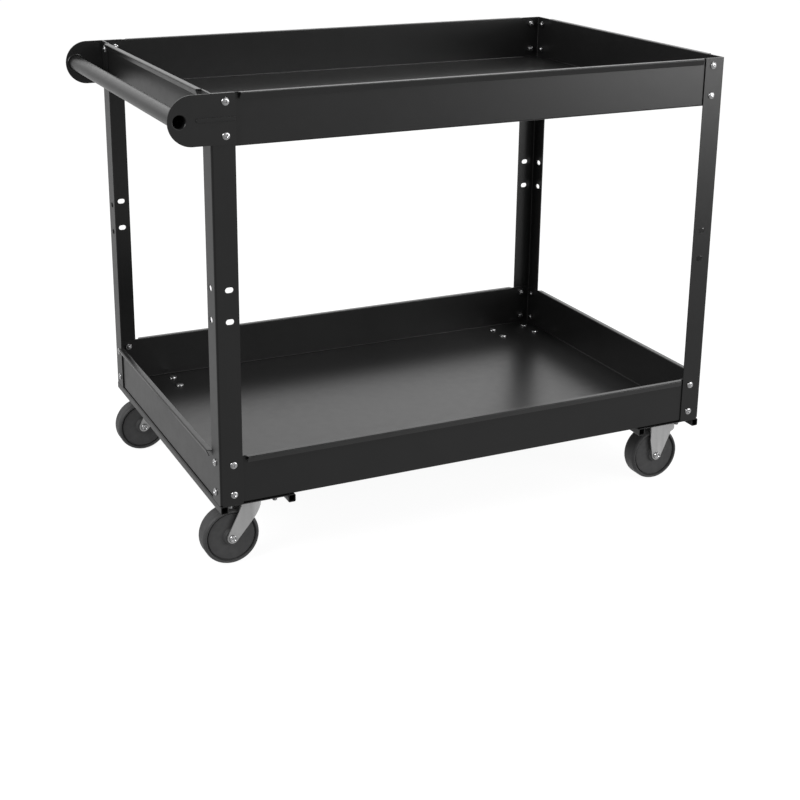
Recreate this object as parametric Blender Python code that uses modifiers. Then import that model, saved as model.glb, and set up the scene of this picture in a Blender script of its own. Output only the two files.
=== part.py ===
"""Rolling utility cart.

Two folded sheet-steel trays are screwed to four steel angle posts. A tube handle is carried by two round-ended
plates at one end. Under each end of the lower tray a hemmed channel takes the caster plates: the casters at the
handle end swivel, the ones at the far end are rigid. Metres, +Z up, floor at Z = 0. X runs along the cart with
the handle at -X, and -Y is the front. The origin is on the floor, under the middle of the cart's overall size.
"""

import math

import bmesh
import bpy
from mathutils import Matrix, Vector

# ---------------------------------------------------------------- driving sizes, metres
CART_LENGTH = 0.9144           # over the posts' outer faces, along X
CART_WIDTH = 0.6096            # over the posts' outer faces, along Y
GAP = 0.0003                   # between parts that rest on each other

POST_LENGTH = 0.6567
POST_FLANGE = 0.0381           # outer width of each leg of the angle
POST_SHEET = 0.0018
POST_BEND = 0.0035             # outer radius of the fold
POST_FOOT_CLIP = 0.0025        # bevel at the foot of the fold

TRAY_HEIGHT = 0.0810
TRAY_SHEET = 0.0012
TRAY_BEND = 0.0025
RIM_REACH = 0.0095             # how far the turned-out rim stands off the wall
RIM_DROP = 0.0105
RIM_TUCK = 0.0045              # how far the rim's lower edge leans back to the wall
RIM_START = 0.0050             # from a post's edge to the rim's end, at the wall
RIM_END_SLANT = 0.0035         # how much shorter the rim is at its outer edge

SCREW_LINE = 0.0229            # from a post's outer corner to its screws, along either flange
SCREW_DROP = 0.0127            # from the tray's rim down to the upper screw
SCREW_PITCH = 0.0508
SCREW_RADIUS = 0.0029
SCREW_CLEARANCE = 0.0007       # round a screw in its hole
SCREW_HEAD_RADIUS = 0.0062
SCREW_HEAD_HEIGHT = 0.0026
SCREW_END = 0.0022             # thread that shows past the nut
NUT_RADIUS = 0.0061            # over the corners
NUT_HEIGHT = 0.0045

SLOT_HEIGHTS = (0.3051, 0.3559)   # above the post's foot
SLOT_LENGTH = 0.0134
SLOT_WIDTH = 0.0090

BRACKET_SHEET = 0.0020
BRACKET_HEIGHT = 0.0762
BRACKET_REACH = 0.0659         # past the posts, to the tip of the round end
HANDLE_TO_TIP = 0.0053         # from the handle's surface to the tip of the round end
HANDLE_RADIUS = 0.0130
HANDLE_WALL = 0.0015
COLLAR_WALL = 0.0016           # formed collar that the tube is slipped over
COLLAR_DEPTH = 0.0080
HOLE_FLARE = 0.0018            # how far the collar's hole opens out at the plate's outer face, and how deep
BEAD_WIDTH = 0.0024            # raised ring round the tube's end
BEAD_HEIGHT = 0.0010
RIB_WIDTH = 0.0066
RIB_HEIGHT = 0.0018
RIB_START = 0.0435             # from the tip of the round end to the rib's round end

CHANNEL_DEPTH = 0.0137         # below the tray's floor
CHANNEL_SHEET = 0.0015
HEM_WIDTH = 0.0127
PLATE_PLAY = 0.0048            # from a caster plate's end to the hem

CASTER_FROM_SIDE = 0.0508      # from the posts' outer face to the wheel's middle, along Y
PLATE_SHEET = 0.0028
PLATE_CORNER = 0.0060
BOLT_SPACING_X = 0.0762
BOLT_SPACING_Y = 0.0445
BOLT_TO_END = 0.0079           # from a bolt's axis to the caster plate's end
BOLT_TO_SIDE = 0.00775
BOLT_RADIUS = 0.0038
BOLT_CLEARANCE = 0.0008        # round a bolt in its hole
BOLT_HEAD_RADIUS = 0.0080
BOLT_HEAD_HEIGHT = 0.0030
BOLT_NUT_RADIUS = 0.0075
BOLT_NUT_HEIGHT = 0.0065
BOLT_END = 0.0050

WHEEL_RADIUS = 0.0480
WHEEL_WIDTH = 0.0320
WHEEL_DISH = 0.0035            # how far the face lies in from the rim, at the hub
WHEEL_DISH_SLOPE = 0.0007      # how much less it lies in at its outer edge
WHEEL_SHOULDER = 0.0045        # how far the tread's rounded shoulder reaches across the wheel
DISH_RADIUS = 0.860 * WHEEL_RADIUS
RIM_INNER_RADIUS = 0.885 * WHEEL_RADIUS
RIM_OUTER_RADIUS = 0.940 * WHEEL_RADIUS
WHEEL_TO_CROWN = 0.0113        # from the wheel's top to the underside of the fork
TRAIL = 0.0343                 # from the swivel axis back to the axle
HUB_RADIUS = 0.0130
HUB_DRAFT = 0.0015             # how much wider the hub is at its foot
HUB_STANDS_OUT = 0.0018        # past the wheel's widest part, each side
HUB_PLAY = 0.0006              # from the hub's end to the fork
SLEEVE_RADIUS = 0.0060         # spacer tube that the wheel turns on
AXLE_RADIUS = 0.0039
AXLE_HEAD_RADIUS = 0.0066
AXLE_HEAD_HEIGHT = 0.0034
RUNNING_GAP = 0.0004

FORK_SHEET = 0.0025
FORK_END_RADIUS = 0.0090       # round lower end of each fork leg
SWIVEL_BACK = 0.0146           # fork leg's rear edge at the crown, behind the swivel axis
SWIVEL_SKIRT_RISE = 0.0520     # from the axle up to the front skirt's lower edge
RIGID_BACK = 0.0146            # fork leg's rear edge behind the axle
RIGID_BACK_RISE = 0.0300       # height above the axle where the rear edge starts to slant
RIGID_FRONT = 0.0250           # centre of the skirt's round front, ahead of the axle
RIGID_KNEE = 0.0282            # where the slanting front edge meets the skirt, ahead of the axle
RIGID_KNEE_RISE = 0.0424
RIGID_SKIRT_RISE = 0.0455
KINGPIN_RADIUS = 0.0055
KINGPIN_HEAD_RADIUS = 0.0090
KINGPIN_HEAD_HEIGHT = 0.0035
BALL_RADIUS = 0.0022
BALL_CIRCLE = 0.0165           # radius of the ring of balls
UPPER_RACE_HEIGHT = 0.0020
CUP_WALL = 0.0020

ROUND_STEPS = 8                # small holes and shanks
RING_STEPS = 20                # races, collars and the handle
WHEEL_STEPS = 24

# ---------------------------------------------------------------- sizes that follow
SCREW_HOLE_RADIUS = SCREW_RADIUS + SCREW_CLEARANCE
BOLT_HOLE_RADIUS = BOLT_RADIUS + BOLT_CLEARANCE
PLATE_LENGTH = BOLT_SPACING_X + 2 * BOLT_TO_END
PLATE_WIDTH = BOLT_SPACING_Y + 2 * BOLT_TO_SIDE
CHANNEL_WIDTH = PLATE_LENGTH + 2 * (PLATE_PLAY + HEM_WIDTH)   # along X, from the cart's end inwards
AXLE_HEIGHT = WHEEL_RADIUS
HUB_HALF = WHEEL_WIDTH / 2 + HUB_STANDS_OUT
FORK_INNER = HUB_HALF + HUB_PLAY
FORK_OUTER = FORK_INNER + FORK_SHEET
CROWN_BOTTOM = 2 * WHEEL_RADIUS + WHEEL_TO_CROWN
CROWN_TOP = CROWN_BOTTOM + FORK_SHEET
BALL_HEIGHT = CROWN_TOP + GAP + BALL_RADIUS
RACE_BOTTOM = BALL_HEIGHT + BALL_RADIUS + GAP
PLATE_BOTTOM = RACE_BOTTOM + UPPER_RACE_HEIGHT
PLATE_TOP = PLATE_BOTTOM + PLATE_SHEET
CHANNEL_TOP = PLATE_TOP + GAP + CHANNEL_SHEET
DECK = CHANNEL_TOP + GAP       # underside of the lower tray and foot of the posts
CART_TOP = DECK + POST_LENGTH

HALF_LENGTH = CART_LENGTH / 2
HALF_WIDTH = CART_WIDTH / 2
TRAY_INSET = POST_SHEET + GAP  # from the posts' outer face to the tray's outer face
TRAY_HALF_LENGTH = HALF_LENGTH - TRAY_INSET
TRAY_HALF_WIDTH = HALF_WIDTH - TRAY_INSET
POST_GRIP = POST_SHEET + GAP + TRAY_SHEET
BRACKET_GRIP = BRACKET_SHEET + GAP + POST_GRIP
BRACKET_MIDDLE = CART_TOP - BRACKET_HEIGHT / 2
BRACKET_INNER = HALF_WIDTH + GAP
BRACKET_FACE = BRACKET_INNER + BRACKET_SHEET
HANDLE_FROM_TIP = HANDLE_TO_TIP + HANDLE_RADIUS
HANDLE_X = -HALF_LENGTH - BRACKET_REACH + HANDLE_FROM_TIP
CASTER_X = HALF_LENGTH - CHANNEL_WIDTH / 2
CASTER_Y = HALF_WIDTH - CASTER_FROM_SIDE
HANDLE_END = HALF_LENGTH + BRACKET_REACH
FAR_END = max(TRAY_HALF_LENGTH + RIM_REACH, HALF_LENGTH + GAP + SCREW_HEAD_HEIGHT)
MIDDLE_SHIFT = (HANDLE_END - FAR_END) / 2

CORNERS = {"front_left": (-1, -1), "front_right": (1, -1), "back_left": (-1, 1), "back_right": (1, 1)}


# ---------------------------------------------------------------- scene, materials and placing
def clear_scene():
    for old in list(bpy.data.objects):
        bpy.data.objects.remove(old)


def new_collection(name):
    collection = bpy.data.collections.new(name)
    bpy.context.scene.collection.children.link(collection)
    return collection


def new_material(name, colour, roughness, metallic):
    material = bpy.data.materials.new(name)
    material.use_nodes = True
    shader = material.node_tree.nodes["Principled BSDF"]
    shader.inputs["Base Color"].default_value = (*colour, 1)
    shader.inputs["Roughness"].default_value = roughness
    shader.inputs["Metallic"].default_value = metallic
    return material


def add_part(name, mesh, location=(0, 0, 0), rotation=None, parent=None):
    """One named sub-part, in its own material, placed in its parent's frame."""
    part = bpy.data.objects.new(name, mesh)
    PARTS.objects.link(part)
    part.parent = parent or CART
    part.location = location
    if rotation:
        part.rotation_euler = rotation
    return part


def add_empty(name, location, parent=None):
    empty = bpy.data.objects.new(name, None)
    PARTS.objects.link(empty)
    empty.location = location
    empty.parent = parent
    return empty


def finished(mesh, material, smooth_angle=None):
    """Gives a mesh its material and, on round pieces, smooth shading."""
    mesh.materials.clear()
    mesh.materials.append(material)
    if smooth_angle:
        mesh.shade_smooth()
        mesh.set_sharp_from_angle(angle=math.radians(smooth_angle))
    return mesh


# ---------------------------------------------------------------- shapes
def baked(holder):
    """The mesh of an object as its modifiers leave it. The object is removed."""
    graph = bpy.context.evaluated_depsgraph_get()
    mesh = bpy.data.meshes.new_from_object(holder.evaluated_get(graph))
    bpy.data.objects.remove(holder)
    return mesh


def welded(mesh):
    shape = bmesh.new()
    shape.from_mesh(mesh)
    bmesh.ops.remove_doubles(shape, verts=shape.verts, dist=0.00001)
    bmesh.ops.recalc_face_normals(shape, faces=shape.faces)
    shape.to_mesh(mesh)
    shape.free()
    return mesh


def moved(mesh, offset=(0, 0, 0), turn=None):
    """A copy of a mesh, turned about the origin and then moved."""
    copy = mesh.copy()
    copy.transform(Matrix.Translation(offset) @ (turn or Matrix.Identity(4)))
    return copy


def flat_mesh(name, loops, thickness):
    """A flat outline in XY, with any holes as further loops, centred on Z = 0."""
    curve = bpy.data.curves.new(name, "CURVE")
    curve.dimensions = "2D"
    curve.fill_mode = "BOTH"
    curve.extrude = thickness / 2
    for loop in loops:
        spline = curve.splines.new("POLY")
        spline.points.add(len(loop) - 1)
        for point, (x, y) in zip(spline.points, loop):
            point.co = (x, y, 0, 1)
        spline.use_cyclic_u = True
    holder = bpy.data.objects.new(name, curve)
    PARTS.objects.link(holder)
    mesh = baked(holder)
    bpy.data.curves.remove(curve)
    return welded(mesh)


def turned_mesh(name, profile, steps, closed=False):
    """A profile of (radius, height) points, top to bottom, turned about Z."""
    shape = bmesh.new()
    points = [shape.verts.new((radius, 0, height)) for radius, height in profile]
    for start, end in zip(points, points[1:]):
        shape.edges.new((start, end))
    if closed:
        shape.edges.new((points[-1], points[0]))
    mesh = bpy.data.meshes.new(name)
    shape.to_mesh(mesh)
    shape.free()
    holder = bpy.data.objects.new(name, mesh)
    PARTS.objects.link(holder)
    screw = holder.modifiers.new("turn", "SCREW")
    screw.steps = steps
    screw.render_steps = steps
    screw.use_merge_vertices = True
    screw.merge_threshold = 0.00002
    return welded(baked(holder))


def prism_mesh(name, radius, height, steps):
    """A round bar or hexagon along Z, centred on Z = 0."""
    shape = bmesh.new()
    bmesh.ops.create_cone(
        shape, cap_ends=True, cap_tris=False, segments=steps, radius1=radius, radius2=radius, depth=height
    )
    mesh = bpy.data.meshes.new(name)
    shape.to_mesh(mesh)
    shape.free()
    return mesh


def combined(mesh, operation, tools):
    """Cuts tools out of a mesh, joins them to it, or keeps what they share."""
    body = bpy.data.objects.new(mesh.name, mesh)
    PARTS.objects.link(body)
    cutters = []
    for tool in tools:
        cutter = bpy.data.objects.new("cutter", tool)
        CUTTERS.objects.link(cutter)
        cutter.hide_render = True
        cutter.display_type = "WIRE"
        cutters.append(cutter)
        change = body.modifiers.new(operation.lower(), "BOOLEAN")
        change.operation = operation
        change.solver = "EXACT"
        change.object = cutter
    result = baked(body)
    for cutter in cutters:
        bpy.data.objects.remove(cutter)
    return result


def arc(centre, radius, start, end, steps):
    """Points on an arc, from the start to the end angle in degrees."""
    points = []
    for step in range(steps + 1):
        angle = math.radians(start + (end - start) * step / steps)
        points.append((centre[0] + radius * math.cos(angle), centre[1] + radius * math.sin(angle)))
    return points


def circle(centre, radius, steps):
    return arc(centre, radius, 0, 360, steps)[:-1]


def rounded_box_outline(half_x, half_y, radius):
    points = []
    for sign_x, sign_y, start in ((1, 1, 0), (-1, 1, 90), (-1, -1, 180), (1, -1, 270)):
        centre = (sign_x * (half_x - radius), sign_y * (half_y - radius))
        points += arc(centre, radius, start, start + 90, 3)
    return points


def strip_outline(line, thickness):
    """The outline of a folded strip: an open line and its parallel on the left, mitred at the folds."""
    points = [Vector(point) for point in line]
    inner = []
    for index, point in enumerate(points):
        before = points[index] - points[index - 1] if index else points[1] - points[0]
        after = points[index + 1] - points[index] if index + 1 < len(points) else before
        left_before = Vector((-before.y, before.x)).normalized()
        left_after = Vector((-after.y, after.x)).normalized()
        corner = (left_before + left_after).normalized()
        inner.append(point + corner * thickness / corner.dot(left_before))
    return [tuple(point) for point in points + inner[::-1]]


def tangent_angle(centre, radius, point, side):
    """Angle in degrees, on a circle, where the line from an outside point touches it."""
    across = Vector(point) - Vector(centre)
    opening = math.acos(radius / across.length)
    return math.degrees(math.atan2(across.y, across.x) + side * opening)


# ---------------------------------------------------------------- posts
def post_mesh():
    """An angle post with its fold at the origin and its flanges along +X and +Y, standing on Z = 0."""
    inner_bend = POST_BEND - POST_SHEET
    outline = [(POST_FLANGE, 0)]
    outline += arc((POST_BEND, POST_BEND), POST_BEND, 270, 180, 4)
    outline += [(0, POST_FLANGE), (POST_SHEET, POST_FLANGE)]
    outline += arc((POST_BEND, POST_BEND), inner_bend, 180, 270, 4)
    outline += [(POST_FLANGE, POST_SHEET)]
    post = moved(flat_mesh("post", [outline], POST_LENGTH), (0, 0, POST_LENGTH / 2))

    reach = 4 * POST_SHEET
    through_end = Matrix.Rotation(math.radians(90), 4, "Y")
    through_side = Matrix.Rotation(math.radians(90), 4, "X")
    hole = prism_mesh("screw_hole", SCREW_HOLE_RADIUS, reach, ROUND_STEPS)
    slot = slot_cutter(reach)
    upright = Matrix.Rotation(math.radians(90), 4, "Z")
    cutters = []
    for height in screw_heights():
        cutters.append(moved(hole, (SCREW_LINE, 0, height - DECK), through_side))
        cutters.append(moved(hole, (0, SCREW_LINE, height - DECK), through_end))
    for height in SLOT_HEIGHTS:
        cutters.append(moved(slot, (SCREW_LINE, 0, height), through_side))
        cutters.append(moved(slot, (0, SCREW_LINE, height), through_end @ upright))
    cutters.append(foot_clip_cutter())
    return finished(combined(post, "DIFFERENCE", cutters), CHARCOAL)


def slot_cutter(reach):
    """A slot with round ends, long along X, cutting along Z."""
    straight = (SLOT_LENGTH - SLOT_WIDTH) / 2
    outline = arc((straight, 0), SLOT_WIDTH / 2, -90, 90, 4) + arc((-straight, 0), SLOT_WIDTH / 2, 90, 270, 4)
    return flat_mesh("slot", [outline], reach)


def foot_clip_cutter():
    """Takes the fold's foot off at a slant on both flanges."""
    clip = POST_FOOT_CLIP
    block = bmesh.new()
    bmesh.ops.create_cube(block, size=1)
    mesh = bpy.data.meshes.new("foot_clip")
    block.to_mesh(mesh)
    block.free()
    mesh.transform(Matrix.Diagonal((8 * clip, 8 * clip, 8 * clip, 1)))
    slant = Vector((1, 1, 1)).rotation_difference(Vector((0, 0, 1))).inverted().to_matrix().to_4x4()
    depth = 2 * clip / math.sqrt(3)
    mesh.transform(Matrix.Translation(Vector((1, 1, 1)).normalized() * (depth - 4 * clip)) @ slant)
    return mesh


def screw_heights():
    """Heights of the four screws of a flange: two at each tray."""
    heights = []
    for rim in (CART_TOP, DECK + TRAY_HEIGHT):
        heights += [rim - SCREW_DROP, rim - SCREW_DROP - SCREW_PITCH]
    return heights


def add_posts():
    mesh = post_mesh()
    turns = {"front_left": 0, "front_right": 90, "back_right": 180, "back_left": 270}
    for corner, (side_x, side_y) in CORNERS.items():
        place = (side_x * HALF_LENGTH, side_y * HALF_WIDTH, DECK)
        add_part(f"post_{corner}", mesh, place, (0, 0, math.radians(turns[corner])))


# ---------------------------------------------------------------- trays
def tray_mesh(name, floor_holes):
    """A tray with its floor's underside on Z = 0 and its rims turned out and down."""
    shape = bmesh.new()
    bmesh.ops.create_cube(shape, size=1)
    size = (2 * TRAY_HALF_LENGTH, 2 * TRAY_HALF_WIDTH, TRAY_HEIGHT)
    bmesh.ops.scale(shape, verts=shape.verts, vec=size)
    bmesh.ops.translate(shape, verts=shape.verts, vec=(0, 0, TRAY_HEIGHT / 2))
    lids = [face for face in shape.faces if face.normal.z > 0.5]
    bmesh.ops.delete(shape, geom=lids, context="FACES")
    folds = [edge for edge in shape.edges if not edge.is_boundary]
    bmesh.ops.bevel(shape, geom=folds, offset=TRAY_BEND, segments=2, profile=0.5, affect="EDGES")
    sheet = bpy.data.meshes.new(name)
    shape.to_mesh(sheet)
    shape.free()

    holder = bpy.data.objects.new(name, sheet)
    PARTS.objects.link(holder)
    solidify = holder.modifiers.new("sheet", "SOLIDIFY")
    solidify.thickness = TRAY_SHEET
    solidify.offset = -1
    solidify.use_even_offset = True
    tub = combined(baked(holder), "UNION", rim_meshes())
    return finished(combined(tub, "DIFFERENCE", tray_cutters(floor_holes)), CHARCOAL)


def rim_meshes():
    """The four turned-out rims, each shorter at its outer edge than at the wall."""
    flat = RIM_REACH + TRAY_SHEET / 2
    line = [(0, 0), (flat, 0), (flat - RIM_TUCK, -RIM_DROP)]
    rims = []
    for turn in range(4):
        across = turn % 2
        wall = TRAY_HALF_LENGTH if across else TRAY_HALF_WIDTH
        post_line = HALF_WIDTH if across else HALF_LENGTH
        half = post_line - POST_FLANGE - RIM_START
        rim = flat_mesh("rim", [strip_outline(line, -TRAY_SHEET)], 2 * half)
        for vert in rim.vertices:
            vert.co.z -= math.copysign(RIM_END_SLANT * vert.co.x / flat, vert.co.z)
        upright = Matrix.Rotation(math.radians(90), 4, "X")
        outward = Matrix.Rotation(math.radians(90 * turn - 90), 4, "Z")
        offset = outward @ Vector((wall - TRAY_SHEET / 2, 0, TRAY_HEIGHT))
        rims.append(moved(rim, offset, outward @ upright))
    return rims


def tray_cutters(floor_holes):
    reach = 6 * TRAY_SHEET
    through_end = Matrix.Rotation(math.radians(90), 4, "Y")
    through_side = Matrix.Rotation(math.radians(90), 4, "X")
    hole = prism_mesh("wall_hole", SCREW_HOLE_RADIUS, reach, ROUND_STEPS)
    cutters = []
    for side_x, side_y in CORNERS.values():
        for drop in (SCREW_DROP, SCREW_DROP + SCREW_PITCH):
            height = TRAY_HEIGHT - drop
            along_x = side_x * (HALF_LENGTH - SCREW_LINE)
            along_y = side_y * (HALF_WIDTH - SCREW_LINE)
            cutters.append(moved(hole, (along_x, side_y * TRAY_HALF_WIDTH, height), through_side))
            cutters.append(moved(hole, (side_x * TRAY_HALF_LENGTH, along_y, height), through_end))
    bolt_hole = prism_mesh("bolt_hole", BOLT_HOLE_RADIUS, reach, ROUND_STEPS)
    for x, y in floor_holes:
        cutters.append(moved(bolt_hole, (x, y, 0)))
    return cutters


def caster_bolt_places(side_x):
    """Places of the eight caster bolts at one end of the cart."""
    places = []
    for side_y in (-1, 1):
        for step_x in (-0.5, 0.5):
            for step_y in (-0.5, 0.5):
                x = side_x * CASTER_X + step_x * BOLT_SPACING_X
                places.append((x, side_y * CASTER_Y + step_y * BOLT_SPACING_Y))
    return places


def add_trays():
    add_part("top_tray", tray_mesh("top_tray", []), (0, 0, CART_TOP - TRAY_HEIGHT))
    bolt_places = caster_bolt_places(-1) + caster_bolt_places(1)
    add_part("bottom_tray", tray_mesh("bottom_tray", bolt_places), (0, 0, DECK))


# ---------------------------------------------------------------- screws of the trays and posts
def screw_mesh(name, grip):
    """A pan-head screw with its nut run on, pointing down -Z from the face that its head rests on."""
    head = GAP + SCREW_HEAD_HEIGHT
    nut_top = -grip - GAP
    end = nut_top - NUT_HEIGHT - SCREW_END
    profile = [
        (0, head),
        (0.6 * SCREW_HEAD_RADIUS, GAP + 0.82 * SCREW_HEAD_HEIGHT),
        (SCREW_HEAD_RADIUS, GAP + 0.25 * SCREW_HEAD_HEIGHT),
        (SCREW_HEAD_RADIUS, GAP),
        (SCREW_RADIUS, GAP),
        (SCREW_RADIUS, end),
        (0, end),
    ]
    screw = turned_mesh(name, profile, ROUND_STEPS)
    nut = moved(prism_mesh("nut", NUT_RADIUS, NUT_HEIGHT, 6), (0, 0, nut_top - NUT_HEIGHT / 2))
    return finished(combined(screw, "UNION", [nut]), ZINC, 40)


def add_screws():
    """Two screws in each flange of each post at each tray."""
    plain = screw_mesh("screw", POST_GRIP)
    through_bracket = screw_mesh("bracket_screw", BRACKET_GRIP)
    for corner, (side_x, side_y) in CORNERS.items():
        for tray, rim in (("top", CART_TOP), ("bottom", DECK + TRAY_HEIGHT)):
            for level, drop in (("upper", SCREW_DROP), ("lower", SCREW_DROP + SCREW_PITCH)):
                name = f"screw_{corner}_{tray}"
                bracketed = side_x < 0 and tray == "top"
                face = BRACKET_FACE if bracketed else HALF_WIDTH
                place = (side_x * (HALF_LENGTH - SCREW_LINE), side_y * face, rim - drop)
                turn = (math.radians(-90 * side_y), 0, 0)
                add_part(f"{name}_side_{level}", through_bracket if bracketed else plain, place, turn)
                place = (side_x * HALF_LENGTH, side_y * (HALF_WIDTH - SCREW_LINE), rim - drop)
                turn = (0, math.radians(90 * side_x), 0)
                add_part(f"{name}_end_{level}", plain, place, turn)


# ---------------------------------------------------------------- handle
def bracket_mesh():
    """A handle plate seen from outside: X towards the posts, Y up, its inner face on Z = 0, outside at +Z.

    The origin is the middle of the round end's circle.
    """
    radius = BRACKET_HEIGHT / 2
    straight = BRACKET_REACH - radius + POST_FLANGE
    outline = arc((0, 0), radius, 90, 270, 16) + [(straight, -radius), (straight, radius)]
    hole_x = HANDLE_FROM_TIP - radius
    collar_radius = HANDLE_RADIUS - HANDLE_WALL - RUNNING_GAP
    hole_radius = collar_radius - COLLAR_WALL
    screw_x = straight - POST_FLANGE + SCREW_LINE
    loops = [outline, circle((hole_x, 0), hole_radius, RING_STEPS)]
    flare_profile = [
        (0, BRACKET_SHEET + GAP),
        (hole_radius + HOLE_FLARE + GAP, BRACKET_SHEET + GAP),
        (hole_radius - GAP, BRACKET_SHEET - HOLE_FLARE - GAP),
        (0, BRACKET_SHEET - HOLE_FLARE - GAP),
    ]
    flare = moved(turned_mesh("flare", flare_profile, RING_STEPS), (hole_x, 0, 0))
    for height in bracket_screw_heights():
        loops.append(circle((screw_x, height), SCREW_HOLE_RADIUS, ROUND_STEPS))
    plate = moved(flat_mesh("bracket", loops, BRACKET_SHEET), (0, 0, BRACKET_SHEET / 2))

    overlap = BRACKET_SHEET / 2
    collar = ring_mesh("collar", hole_radius, collar_radius, overlap, COLLAR_DEPTH)
    bead_inner = HANDLE_RADIUS + RUNNING_GAP
    bead = ring_mesh("bead", bead_inner, bead_inner + BEAD_WIDTH, overlap, BEAD_HEIGHT)
    rib_start = RIB_START - radius + RIB_WIDTH / 2
    rib_end = straight - GAP
    rib_outline = arc((rib_start, 0), RIB_WIDTH / 2, 90, 270, 6)
    rib_outline += [(rib_end, -RIB_WIDTH / 2), (rib_end, RIB_WIDTH / 2)]
    rib_depth = RIB_HEIGHT + overlap
    rib = moved(flat_mesh("rib", [rib_outline], rib_depth), (0, 0, overlap + rib_depth / 2))
    rings = [moved(ring, (hole_x, 0, 0)) for ring in (collar, bead)]
    pressed = combined(plate, "UNION", [*rings, rib])
    return finished(combined(pressed, "DIFFERENCE", [flare]), CHARCOAL)


def ring_mesh(name, inner, outer, top, depth):
    """A plain ring about Z, from top down to depth below Z = 0."""
    loops = [circle((0, 0), outer, RING_STEPS), circle((0, 0), inner, RING_STEPS)]
    return moved(flat_mesh(name, loops, top + depth), (0, 0, (top - depth) / 2))


def bracket_screw_heights():
    """Heights of the bracket's two screws above its middle."""
    upper = CART_TOP - SCREW_DROP - BRACKET_MIDDLE
    return [upper, upper - SCREW_PITCH]


def tube_mesh():
    """The handle tube, along Z, centred on the origin."""
    half = BRACKET_INNER - GAP
    inner = HANDLE_RADIUS - HANDLE_WALL
    profile = [(HANDLE_RADIUS, half), (HANDLE_RADIUS, -half), (inner, -half), (inner, half)]
    return finished(turned_mesh("handle_tube", profile, RING_STEPS, closed=True), CHARCOAL, 40)


def add_handle():
    mesh = bracket_mesh()
    middle_x = -HALF_LENGTH - BRACKET_REACH + BRACKET_HEIGHT / 2
    quarter = math.radians(90)
    add_part("handle_bracket_front", mesh, (middle_x, -BRACKET_INNER, BRACKET_MIDDLE), (quarter, 0, 0))
    add_part("handle_bracket_back", mesh, (middle_x, BRACKET_INNER, BRACKET_MIDDLE), (-quarter, 0, 0))
    add_part("handle_tube", tube_mesh(), (HANDLE_X, 0, BRACKET_MIDDLE), (quarter, 0, 0))


# ---------------------------------------------------------------- caster channels
def channel_mesh(bolt_places):
    """A web with a boxed hem down each side, seen along Y, hanging from Z = 0. X = 0 is its middle."""
    half = CHANNEL_WIDTH / 2
    depth = CHANNEL_DEPTH - GAP
    lip = depth - CHANNEL_SHEET - GAP
    line = [
        (-half + HEM_WIDTH, -depth + lip),
        (-half + HEM_WIDTH, -depth),
        (-half, -depth),
        (-half, 0),
        (half, 0),
        (half, -depth),
        (half - HEM_WIDTH, -depth),
        (half - HEM_WIDTH, -depth + lip),
    ]
    folded = flat_mesh("channel", [strip_outline(line, -CHANNEL_SHEET)], CART_WIDTH)
    folded.transform(Matrix.Rotation(math.radians(90), 4, "X"))
    hole = prism_mesh("bolt_hole", BOLT_HOLE_RADIUS, 4 * CHANNEL_SHEET, ROUND_STEPS)
    cutters = [moved(hole, (x, y, 0)) for x, y in bolt_places]
    return finished(combined(folded, "DIFFERENCE", cutters), CHARCOAL)


def add_channels():
    places = [(x - CASTER_X, y) for x, y in caster_bolt_places(1)]
    mesh = channel_mesh(places)
    add_part("caster_channel_left", mesh, (-CASTER_X, 0, CHANNEL_TOP))
    add_part("caster_channel_right", mesh, (CASTER_X, 0, CHANNEL_TOP))


# ---------------------------------------------------------------- casters
def mounting_bolt_mesh():
    """One caster bolt with its nut, at its height in the cart, on the Z axis."""
    seat = DECK + TRAY_SHEET + GAP
    end = PLATE_BOTTOM - BOLT_NUT_HEIGHT - BOLT_END
    profile = [
        (0, seat + BOLT_HEAD_HEIGHT),
        (0.6 * BOLT_HEAD_RADIUS, seat + 0.8 * BOLT_HEAD_HEIGHT),
        (BOLT_HEAD_RADIUS, seat + 0.15 * BOLT_HEAD_HEIGHT),
        (BOLT_HEAD_RADIUS, seat),
        (BOLT_RADIUS, seat),
        (BOLT_RADIUS, end),
        (0, end),
    ]
    bolt = turned_mesh("bolt", profile, ROUND_STEPS)
    overlap = PLATE_SHEET / 2
    nut = prism_mesh("nut", BOLT_NUT_RADIUS, BOLT_NUT_HEIGHT + overlap, 6)
    nut = moved(nut, (0, 0, PLATE_BOTTOM + (overlap - BOLT_NUT_HEIGHT) / 2))
    return combined(bolt, "UNION", [nut])


def bolted_plate_mesh(name):
    """A caster's top plate with its four bolts drawn tight, centred on the Z axis."""
    outline = rounded_box_outline(PLATE_LENGTH / 2, PLATE_WIDTH / 2, PLATE_CORNER)
    plate = moved(flat_mesh(name, [outline], PLATE_SHEET), (0, 0, PLATE_BOTTOM + PLATE_SHEET / 2))
    bolt = mounting_bolt_mesh()
    bolts = []
    for step_x in (-0.5, 0.5):
        for step_y in (-0.5, 0.5):
            bolts.append(moved(bolt, (step_x * BOLT_SPACING_X, step_y * BOLT_SPACING_Y, 0)))
    return combined(plate, "UNION", bolts)


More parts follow.
